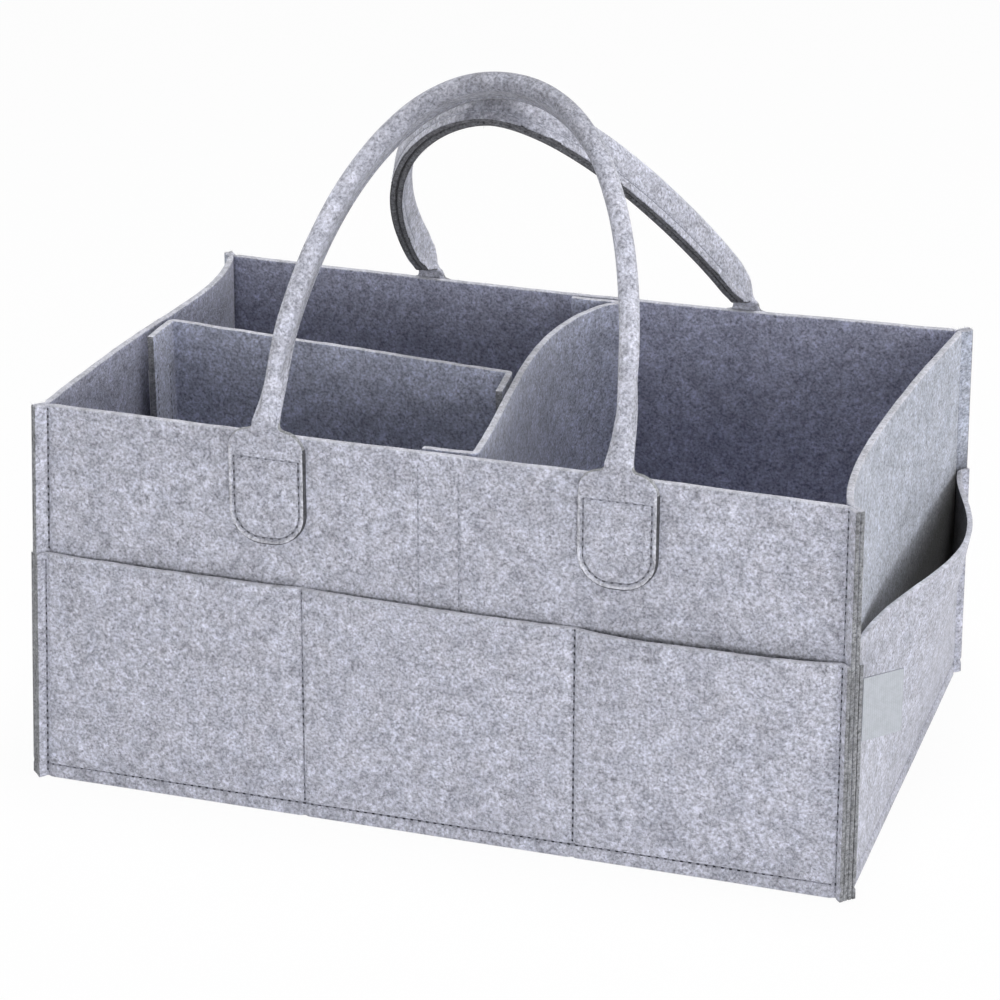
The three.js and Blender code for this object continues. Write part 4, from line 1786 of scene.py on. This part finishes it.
    def strap(
        self,
        skin: np.ndarray,
        on_tab: np.ndarray,
        folded_up: np.ndarray,
        from_rim: np.ndarray,
        wardrobe: Wardrobe,
    ) -> None:
        """Makes the strap, shaped with a bend at each of its two necks.

        Args:
            skin: Rings of points in the handle's own frame.
            on_tab: Which rings are on a tab.
            folded_up: Which rings are folded, with both raw edges inside.
            from_rim: How far each outer point of a tab is from its cut edge.
            wardrobe: The materials.
        """
        rings, around = skin.shape[:2]
        columns = around // 2
        faces = tube_faces(0, rings, around)
        picks = [
            self.strap_finish(ring, step, on_tab, folded_up, from_rim)
            for ring in range(rings - 1)
            for step in range(around)
        ]
        for start in (0, (rings - 1) * around):
            for step in range(columns - 1):
                twin = around - 1 - step
                faces.append((start + step, start + step + 1, start + twin - 1, start + twin))
                picks.append(1)
        points = self.world(skin.reshape(-1, 3))
        # Painted shadow at the tabs' outlines, painted highlight inside them and painted shade on the
        # fold's raw edges.
        skins = [wardrobe.grips[self.word], wardrobe.cut]
        skins += [wardrobe.strap_edge, wardrobe.tab_edge_highlight, wardrobe.raw_edge_shaded]
        strap = make_piece(f"{self.word}_handle_strap", points, faces, skins, picks)
        y = -self.turned * self.hinge * MM
        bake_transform(strap)
        nodes = [f"{self.word}_handle_grip"]
        nodes += [f"{self.word}_{end}_handle_tab" for end in ("left", "right")]
        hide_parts(*nodes)
        count = len(strap.data.polygons)
        LOG.info("%s: %d faces between the shell and %s", strap.name, count, self.body.value)

    @staticmethod
    def strap_finish(
        ring: int, step: int, on_tab: np.ndarray, folded_up: np.ndarray, from_rim: np.ndarray
    ) -> int:
        """Picks the finish of one face of the strap.

        Args:
            ring: The face's ring.
            step: Its place round the ring.
            on_tab: Which rings are on a tab.
            folded_up: Which rings are folded.
            from_rim: How far each outer point of a tab is from its cut edge.

        Returns:
            0 for a face, 1 for a cut edge, 2 for a tab's outline in painted shadow, 3 for the painted
            highlight band inside it, and 4 for the fold's raw edges in painted shade.
        """
        columns = from_rim.shape[1]
        if step < columns - 1:
            edge = from_rim[ring : ring + 2, step : step + 2].mean()
            return 2 if edge < HANDLE.dark_rim else 3 if edge < HANDLE.highlight_reach else 0
        # The folded strap's inner side takes the raw edges' felt, with painted shade.
        if not on_tab[ring]:
            return 4 if folded_up[ring] else 0
        # A tab's side walls near its edge take the painted shadow, the rest the cut edge.
        if step in (columns - 1, 2 * columns - 1):
            return 2 if from_rim[ring, 0] < 1.0 else 1
        return 0

    def stitches(
        self, skin: np.ndarray, outward: np.ndarray, on_tab: np.ndarray, wardrobe: Wardrobe
    ) -> None:
        """Sews the tabs to the wall and the folded strap along its raw edges.

        Args:
            skin: Rings of points in the handle's own frame.
            outward: The outward direction at each point.
            on_tab: Which rings are on a tab.
            wardrobe: The materials.
        """
        loops: list[Seam] = []
        tops: list[Seam] = []
        sunk = HANDLE.thread_depth - HANDLE.tab_felt / 2
        for x in (-HANDLE.half_span, HANDLE.half_span):
            for seams, line in zip((loops, tops), self.tab_seam(x)):
                spots = [self.tab_line(x, z) + np.array([across - x, sunk, 0.0]) for across, z in line]
                facing = np.tile([[0.0, -self.turned, 0.0]], (len(spots), 1))
                seams.append(Seam(self.world(np.array(spots)), facing))
        tabs = THREAD.stitch(loops, f"{self.word}_tab_stitches", wardrobe.tab_sewing)
        settle(tabs, Body.SHELL, Slot.FELT)
        tab_tops = THREAD.stitch(tops, f"{self.word}_tab_top_stitches", wardrobe.faint_sewing)
        settle(tab_tops, Body.SHELL, Slot.FELT)
        high = np.where(~on_tab & (skin[:, 0, 2] > HANDLE.rows_from))[0]
        rows = []
        for row in (HANDLE.grip_row, -HANDLE.grip_row):
            column = int(np.argmin(np.abs(HANDLE.spread - row)))
            line = self.world(skin[high, column] + 0.06 * outward[high, column])
            rows.append(Seam(line, self.facing(outward[high, column])))
        grip = THREAD.stitch(rows, f"{self.word}_grip_stitches", wardrobe.faint_sewing)
        settle(grip, self.body, Slot.FELT)


@dataclass(frozen=True)
class DividerShape:
    """Sizes that both dividers share."""

    felt: float = 3.0
    seat: float = 0.3
    flange_bend: float = 1.7
    tape_inset: float = 6.0
    tape_thickness: float = 1.6
    tape_grip: float = 0.3
    tape_margin: float = 2.0
    tape_end_margin: float = 18.0

    @property
    def to_tape(self) -> float:
        """From the face that a flange sticks to, to the middle of its tape."""
        return self.tape_grip + self.tape_thickness / 2

    @property
    def to_flange(self) -> float:
        """From the face that a flange sticks to, to the middle of its felt."""
        return self.tape_grip + self.tape_thickness + BOX.sewn_gap + self.felt / 2

    def quarter_bend(
        self, start: np.ndarray, first: np.ndarray, second: np.ndarray
    ) -> list[np.ndarray]:
        """Walks round a quarter bend.

        Args:
            start: Where it starts.
            first: The direction at its start.
            second: The direction at its end.

        Returns:
            The points after the start.
        """
        found = []
        for angle in np.linspace(0.0, math.pi / 2, 7)[1:]:
            way = math.sin(angle) * first + (1.0 - math.cos(angle)) * second
            found.append(start + self.flange_bend * way)
        return found


DIVIDER = DividerShape()
TO_LEFT = np.array([-1.0, 0.0])
TO_RIGHT = np.array([1.0, 0.0])
TO_FRONT = np.array([0.0, -1.0])
TO_BACK = np.array([0.0, 1.0])


@dataclass
class DividerSet:
    """The two removable dividers, with the hook tape on their flanges."""

    wardrobe: Wardrobe
    cross_front_x: float = 18.2
    cross_back_x: float = 22.2
    cross_bow: float = 17.0
    cross_peak: float = 0.7
    cross_fullness: float = 0.6
    cross_flange: float = 24.0
    long_left_y: float = 10.0
    long_right_y: float = -8.0
    long_flange: float = 25.0

    def __post_init__(self) -> None:
        """Finds where the dividers' flanges lie."""
        self.low = BOX.base_top + DIVIDER.seat
        high = BOX.wall_height
        self.front_face = -WALLS[Side.FRONT].inner_face(self.cross_front_x, high)
        back = WALLS[Side.BACK]
        reach = (self.cross_back_x, self.cross_back_x - self.cross_flange, 0.0)
        self.back_face = min(back.inner_face(-x, high) for x in reach)
        left = WALLS[Side.LEFT]
        reach = [self.long_left_y - share * self.long_flange for share in (0.0, 0.5, 1.0)]
        self.left_face = -min(left.inner_face(-y, high) for y in reach)

    def cross_point(self, y: float) -> np.ndarray:
        """Finds the middle of the cross divider at a place between front and back."""
        start = self.front_face + DIVIDER.to_flange + DIVIDER.flange_bend
        end = self.back_face - DIVIDER.to_flange - DIVIDER.flange_bend
        t = min(max((y - start) / (end - start), 0.0), 1.0)
        straight = self.cross_front_x + (self.cross_back_x - self.cross_front_x) * t
        bow = bow_shape(np.array([t]), self.cross_peak, self.cross_fullness)[0]
        return np.array([straight - self.cross_bow * bow, y])

    def cross_path(self) -> np.ndarray:
        """Walks along the cross divider, from its front flange to its back flange."""
        front_y = self.front_face + DIVIDER.to_flange
        back_y = self.back_face - DIVIDER.to_flange
        start = np.array([self.cross_front_x - DIVIDER.flange_bend, front_y])
        tip = self.cross_front_x - self.cross_flange
        path = [np.array([x, front_y]) for x in np.linspace(tip, start[0], 9)]
        path += DIVIDER.quarter_bend(start, TO_RIGHT, TO_BACK)
        span = np.linspace(front_y + DIVIDER.flange_bend, back_y - DIVIDER.flange_bend, 70)
        path += [self.cross_point(float(y)) for y in span[1:]]
        path += DIVIDER.quarter_bend(path[-1], TO_BACK, TO_LEFT)
        end = self.cross_back_x - self.cross_flange
        path += [np.array([x, back_y]) for x in np.linspace(path[-1][0], end, 9)[1:]]
        return np.array(path)

    def beside_cross(self, y: float, distance: float) -> np.ndarray:
        """Finds a place beside the cross divider's left face, at a distance from it."""
        ahead = self.cross_point(y + 1.0) - self.cross_point(y - 1.0)
        ahead /= np.linalg.norm(ahead)
        return self.cross_point(y) + np.array([-ahead[1], ahead[0]]) * (DIVIDER.felt / 2 + distance)

    def long_path(self) -> np.ndarray:
        """Walks along the long divider, from its left flange to its right flange."""
        x = self.left_face + DIVIDER.to_flange
        start = np.array([x, self.long_left_y - DIVIDER.flange_bend])
        tip = self.long_left_y - self.long_flange
        path = [np.array([x, y]) for y in np.linspace(tip, start[1], 9)]
        path += DIVIDER.quarter_bend(start, TO_BACK, TO_RIGHT)
        first = self.long_right_y - DIVIDER.flange_bend
        flange = [self.beside_cross(float(y), DIVIDER.to_flange)
                  for y in np.linspace(first, self.long_right_y - self.long_flange, 9)]
        turn = flange[0] + DIVIDER.flange_bend * (TO_LEFT + TO_BACK)
        path += [path[-1] + (turn - path[-1]) * t for t in np.linspace(0.0, 1.0, 48)[1:]]
        path += DIVIDER.quarter_bend(turn, TO_RIGHT, TO_FRONT)[:-1] + flange
        return np.array(path)

    def sheet(self, name: str, path: np.ndarray) -> tuple[bpy.types.Object, np.ndarray]:
        """Makes a divider's felt along its path.

        Args:
            name: The piece's name.
            path: Its middle line in plan.

        Returns:
            The piece, and the left-hand direction along the path.
        """
        left = left_hand(path)
        rows = graded(self.low, BOX.wall_height, 8.0)
        right_grid, left_grid = [], []
        for z in rows:
            uneven = DIVIDER_RIM.at(at_height(path, z))
            height = z + uneven * near_rim(BOX.wall_height - z)
            for grid, side in ((right_grid, -1.0), (left_grid, 1.0)):
                plan = path + side * DIVIDER.felt / 2 * left
                grid.append(np.column_stack([plan, height]))
        faces, picks = slab_faces(len(rows), len(path))
        points = np.concatenate([*right_grid, *left_grid])
        skins = [self.wardrobe.divider, self.wardrobe.divider, self.wardrobe.rim, self.wardrobe.cut]
        piece = make_piece(name, points, faces, skins, picks, CUT_ROUNDING)
        return piece, left

    def flange_seams(self, path: np.ndarray, left: np.ndarray, side: float) -> list[Seam]:
        """Finds the two upright rows of stitches that hold the tape on each flange.

        Args:
            path: The divider's middle line in plan.
            left: The left-hand direction along it.
            side: 1 to sew on the left-hand face, -1 on the right-hand face.

        Returns:
            The rows.
        """
        heights = np.linspace(self.low + 19.0, BOX.wall_height - 19.0, 40)
        rows = []
        for pick in (1, 6, -2, -7):
            spot = path[pick] + side * left[pick] * (DIVIDER.felt / 2 - 0.1)
            line = np.column_stack([np.tile(spot, (len(heights), 1)), heights])
            way = np.append(side * left[pick], 0.0)
            rows.append(Seam(line, np.tile(way, (len(heights), 1))))
        return rows

    def tape(self, name: str, path: np.ndarray, outward: float) -> bpy.types.Object:
        """Makes a strip of hook tape: a woven ground with rows of small hooks.

        Args:
            name: The piece's name.
            path: The strip's middle line in plan.
            outward: 1 where the hooks are on the left of the path, -1 on the right.

        Returns:
            The piece.
        """
        low = self.low + DIVIDER.tape_end_margin
        high = BOX.wall_height - DIVIDER.tape_end_margin
        left = left_hand(path)
        half = DIVIDER.tape_thickness / 2
        ground = path - outward * left * 0.35 * half
        rows = graded(low, high, 6.0)
        points = plies(ground, 0.65 * half * left, rows)
        faces, _ = slab_faces(len(rows), len(path))
        base = len(points)
        hooks: list[np.ndarray] = []
        run = np.linspace(0.0, len(path) - 1.0, 9)[1:-1]
        for z in np.arange(low + 2.0, high - 1.5, 2.1):
            for at in run:
                spot = np.array([np.interp(at, range(len(path)), ground[:, axis]) for axis in (0, 1)])
                way = outward * left[int(at)]
                hooks.append(self.hook(np.append(spot, z), np.append(way, 0.0)))
        for index, hook in enumerate(hooks):
            faces += tube_faces(base + index * len(hook), len(hook) // 3, 3)
        return make_piece(name, np.concatenate([points, *hooks]), faces, [self.wardrobe.tape])

    @staticmethod
    def hook(foot: np.ndarray, out: np.ndarray) -> np.ndarray:
        """Shapes one hook of the tape.

        Args:
            foot: Where it stands.
            out: The way that it stands out.

        Returns:
            The points of its four rings of three.
        """
        up = np.array([0.0, 0.0, 1.0])
        aside = np.cross(out, up)
        bent = ((0.3, 0.0, 0.2), (0.8, 0.0, 0.17), (1.02, 0.25, 0.15), (0.92, 0.55, 0.08))
        rings = []
        for far, rise, size in bent:
            for turn in (0.0, 2.094, 4.189):
                way = math.cos(turn) * aside + math.sin(turn) * up
                rings.append(foot + far * out + rise * up + size * way)
        return np.array(rings)

    def build(self) -> None:
        """Makes both dividers, their tapes and their stitches."""
        cross = self.cross_path()
        piece, left = self.sheet("cross_divider_felt", cross)
        settle(piece, Body.CROSS_DIVIDER, Slot.DIVIDER, "cross_divider")
        rows = self.flange_seams(cross, left, 1.0)
        stitches = THREAD.stitch(rows, "cross_divider_stitches", self.wardrobe.sewing)
        settle(stitches, Body.CROSS_DIVIDER, Slot.DIVIDER)
        for word, x, y, outward in (
            ("front", self.cross_front_x, self.front_face + DIVIDER.to_tape, -1.0),
            ("back", self.cross_back_x, self.back_face - DIVIDER.to_tape, 1.0),
        ):
            run = np.linspace(x - self.cross_flange + DIVIDER.tape_margin, x - DIVIDER.tape_inset, 7)
            line = np.column_stack([run, np.full(len(run), y)])
            strip = self.tape(f"cross_{word}_hook_tape", line, outward)
            settle(strip, Body.CROSS_DIVIDER, Slot.TAPE, f"cross_divider_{word}_tape")
        along = self.long_path()
        piece, left = self.sheet("long_divider_felt", along)
        settle(piece, Body.LONG_DIVIDER, Slot.DIVIDER, "long_divider")
        rows = self.flange_seams(along, left, -1.0)
        stitches = THREAD.stitch(rows, "long_divider_stitches", self.wardrobe.sewing)
        settle(stitches, Body.LONG_DIVIDER, Slot.DIVIDER)
        run = np.linspace(self.long_left_y - self.long_flange + DIVIDER.tape_margin,
                          self.long_left_y - DIVIDER.tape_inset, 7)
        left_path = np.column_stack([np.full(7, self.left_face + DIVIDER.to_tape), run])
        strip = self.tape("long_left_hook_tape", left_path, 1.0)
        settle(strip, Body.LONG_DIVIDER, Slot.TAPE, "long_divider_left_tape")
        run = np.linspace(self.long_right_y - DIVIDER.tape_inset,
                          self.long_right_y - self.long_flange + DIVIDER.tape_margin, 7)
        right_path = np.array([self.beside_cross(float(y), DIVIDER.to_tape) for y in run])
        strip = self.tape("long_right_hook_tape", right_path, 1.0)
        settle(strip, Body.LONG_DIVIDER, Slot.TAPE, "long_divider_right_tape")


@dataclass(frozen=True)
class SideTag:
    """A blank folded tag sewn into the front right corner seam."""

    width: float = 21.0
    height: float = 30.0
    thickness: float = 0.8
    ply: float = 0.3
    turn: float = 47.0
    below_pocket: float = 7.0
    gap: float = 0.3

    def build(self, wardrobe: Wardrobe) -> None:
        """Makes the tag: two plies joined by a fold at their far end.

        Args:
            wardrobe: The materials.
        """
        top = BOX.pocket_top - self.below_pocket
        wall = WALLS[Side.RIGHT]
        depth = BOX.panel_felt + BOX.sewn_gap + BOX.pocket_felt + self.gap
        corner = wall.seam_edge(top, depth) * np.array([-1.0, 1.0])
        start = wall.place(corner[None], np.array([top]))[0]
        angle = math.radians(self.turn)
        ahead = np.array([math.cos(angle), math.sin(angle)])
        aside = np.array([-math.sin(angle), math.cos(angle)])
        reach = self.width - self.thickness / 2
        loop = [(x, self.ply / 2) for x in np.linspace(0.0, reach, 14)]
        radius = (self.thickness - self.ply) / 2
        for turn in np.linspace(-90.0, 90.0, 7)[1:-1]:
            swing = math.radians(turn)
            out = self.thickness / 2 + radius * math.sin(swing)
            loop.append((reach + radius * math.cos(swing), out))
        loop += [(x, self.thickness - self.ply / 2) for x in np.linspace(reach, 0.0, 14)]
        plan = np.array([start[:2] + x * ahead + y * aside for x, y in loop])
        rows = graded(top - self.height, top, 2.5)
        points = plies(plan, self.ply / 2 * left_hand(plan), rows)
        faces, picks = slab_faces(len(rows), len(plan))
        # The top and bottom edges take the thread's darker colour: painted shade for the dark line
        # along the tag's top edge.
        ends = [int(pick == 2) for pick in picks]
        tag = make_piece("side_tag", points, faces, [wardrobe.tag, wardrobe.thread], ends, 0.08)
        settle(tag, Body.SHELL, Slot.LABEL, "side_label")


@dataclass(frozen=True)
class Fuzz:
    """Loose fibres that stand off the felt."""

    reach: float = 1.1
    thickness: float = 0.07
    seed: int = 20
    on_rim: int = 260
    on_grip: int = 500

    def scatter(
        self, name: str, grid: np.ndarray, outward: np.ndarray, count: int, skin: bpy.types.Material
    ) -> bpy.types.Object:
        """Scatters fibres over a grid of points.

        Args:
            name: The piece's name.
            grid: Points of the felt.
            outward: The way that the felt faces at each.
            count: How many fibres there are.
            skin: Their material.

        Returns:
            The fibres as one piece.
        """
        chance = random.Random(self.seed + len(name))
        flat = grid.reshape(-1, 3)
        facing = outward.reshape(-1, 3)
        columns = grid.shape[1]
        points: list[np.ndarray] = []
        faces: list[tuple[int, ...]] = []
        for _ in range(count):
            at = chance.randrange(len(flat) - columns - 1)
            share = chance.random()
            foot = flat[at] * (1 - share) + flat[at + columns] * share
            lying = np.array([chance.uniform(-1, 1) for _ in range(3)])
            lying -= facing[at] * np.dot(lying, facing[at])
            lying /= max(np.linalg.norm(lying), 1e-6)
            aside = np.cross(lying, facing[at])
            reach = self.reach * chance.uniform(0.5, 1.6)
            curl = chance.uniform(-0.8, 0.8)
            base = 8 * len(points)
            strip = []
            for step in (0.0, 0.35, 0.7, 1.0):
                spot = foot + reach * step * lying + curl * reach * step * step * aside
                spot = spot + facing[at] * (0.55 * reach * math.sin(2.4 * step) - 0.05)
                wide = self.thickness * (1.0 - 0.6 * step)
                strip += [spot - wide / 2 * aside, spot + wide / 2 * aside]
            points.append(np.array(strip))
            faces += [(base + k, base + k + 1, base + k + 3, base + k + 2) for k in (0, 2, 4)]
        return make_piece(name, np.concatenate(points), faces, [skin])


FUZZ = Fuzz()
FLOOR_REACH = 4000.0
FLOOR_LEVEL = -0.4


@dataclass(frozen=True)
class Studio:
    """The camera at the photograph's place, a white floor and soft light."""

    position: Point = (0.4492, -1.3575, 0.7222)
    yaw: float = 18.56
    pitch: float = 22.968
    roll: float = -0.407
    lens: float = 118.344

    def build(self) -> None:
        """Sets up the camera, the floor, the surroundings and the lamps."""
        self.camera()
        self.floor()
        self.surroundings()
        self.lamp("overhead_softbox", (0.15, 0.05, 1.9), (0.0, 0.0, 0.0), 0.8, 26.0)
        self.lamp("front_softbox", (0.9, -2.3, 0.25), (0.0, 0.0, 0.1), 1.2, 22.5)
        self.lamp("right_softbox", (2.4, -0.5, 0.12), (0.0, 0.0, 0.1), 0.5, 18.0)
        bpy.context.scene.view_settings.view_transform = "Standard"

    def camera(self) -> None:
        """Places the camera."""
        yaw, pitch, roll = (math.radians(angle) for angle in (self.yaw, self.pitch, self.roll))
        level = math.cos(pitch)
        forward = Vector((-math.sin(yaw) * level, math.cos(yaw) * level, -math.sin(pitch)))
        right = Vector((math.cos(yaw), math.sin(yaw), 0.0))
        above = right.cross(forward)
        turned = math.cos(roll) * right + math.sin(roll) * above
        lifted = -math.sin(roll) * right + math.cos(roll) * above
        data = bpy.data.cameras.new("camera")
        data.sensor_width = 36.0
        data.lens = self.lens
        data.clip_start = 0.05
        data.clip_end = 50.0
        camera = bpy.data.objects.new("camera", data)
        facing = Matrix((turned, lifted, -forward)).transposed().to_4x4()
        camera.matrix_world = Matrix.Translation(self.position) @ facing
        bpy.context.scene.collection.objects.link(camera)
        bpy.context.scene.camera = camera

    @staticmethod
    def floor() -> None:
        """Lays a floor that looks white and keeps a faint shadow."""
        sheet = NodeSheet(bpy.data.materials.new("white_floor"))
        sheet.feed(sheet.shader, "Base Color", (0.82, 0.82, 0.83, 1.0))
        sheet.feed(sheet.shader, "Roughness", 0.9)
        sheet.feed(sheet.shader, "Specular IOR Level", 0.0)
        glow = sheet.add("ShaderNodeEmission")
        path = sheet.add("ShaderNodeLightPath")
        seen = sheet.greatest([path.outputs[ray] for ray in WHITE_RAYS])
        blend = sheet.add("ShaderNodeMixShader")
        sheet.feed(blend, 0, sheet.math("MULTIPLY", seen, 0.95))
        sheet.feed(blend, 1, sheet.shader.outputs[0])
        sheet.feed(blend, 2, glow.outputs[0])
        sheet.feed(sheet.tree.nodes["Material Output"], "Surface", blend.outputs[0])
        square = np.array([[-1.0, -1.0], [1.0, -1.0], [1.0, 1.0], [-1.0, 1.0]])
        corners = at_height(FLOOR_REACH * square, FLOOR_LEVEL)
        ground = make_piece("floor", corners, [(0, 1, 2, 3)], [sheet.owner])

    @staticmethod
    def surroundings() -> None:
        """Lights the scene from low all round and a little from above, on white."""
        world = bpy.data.worlds.new("white_room")
        sheet = NodeSheet(world, "Background", "Generated")
        level = sheet.ramp(sheet.parts()[2], 0.08, 0.5, 1.14, 0.3)
        path = sheet.add("ShaderNodeLightPath")
        seen = sheet.greatest([path.outputs[ray] for ray in WHITE_RAYS])
        strength = sheet.add("ShaderNodeMix")
        for key, value in ((0, seen), (2, level), (3, 1.0)):
            sheet.feed(strength, key, value)
        sheet.feed(sheet.shader, "Strength", strength.outputs[0])
        sheet.feed(sheet.shader, "Color", (1.0, 1.0, 1.0, 1.0))
        bpy.context.scene.world = world

    @staticmethod
    def lamp(name: str, place: Point, aim: Point, size: float, power: float) -> None:
        """Hangs a square soft lamp.

        Args:
            name: Its name.
            place: Where it hangs, in metres.
            aim: The point that it lights.
            size: The length of its side.
            power: Its power in watts.
        """
        data = bpy.data.lights.new(name, "AREA")
        data.shape = "SQUARE"
        data.size = size
        data.energy = power
        lamp = bpy.data.objects.new(name, data)
        lamp.location = place
        lamp.rotation_euler = (Vector(aim) - Vector(place)).to_track_quat("-Z", "Y").to_euler()
        bpy.context.scene.collection.objects.link(lamp)


def main() -> None:
    """Builds the caddy piece by piece, then the studio."""
    logging.basicConfig(level=logging.INFO, format="%(name)s: %(message)s")
    wardrobe = Wardrobe()
    SewnBox(wardrobe).build()
    handles = (
        Handle(
            "front", WALLS[Side.FRONT], Body.FRONT_HANDLE, turned=1.0, shift=4.4, rise=165.4, lean=37.0,
            power=2.15, sway=2.3, twist=13.0, neck_fold=0.35, fold_length=50.0, shoulder=186.5,
        ),
        Handle(
            "back", WALLS[Side.BACK], Body.BACK_HANDLE, turned=-1.0, shift=2.8, rise=165.6, lean=43.5,
            power=1.75, sway=10.6, twist=0.0, neck_fold=0.85, fold_length=22.0, shoulder=183.0,
        ),
    )
    for handle in handles:
        handle.build(wardrobe)
    DividerSet(wardrobe).build()
    SideTag().build(wardrobe)
    Studio().build()


if __name__ == "__main__":
    main()
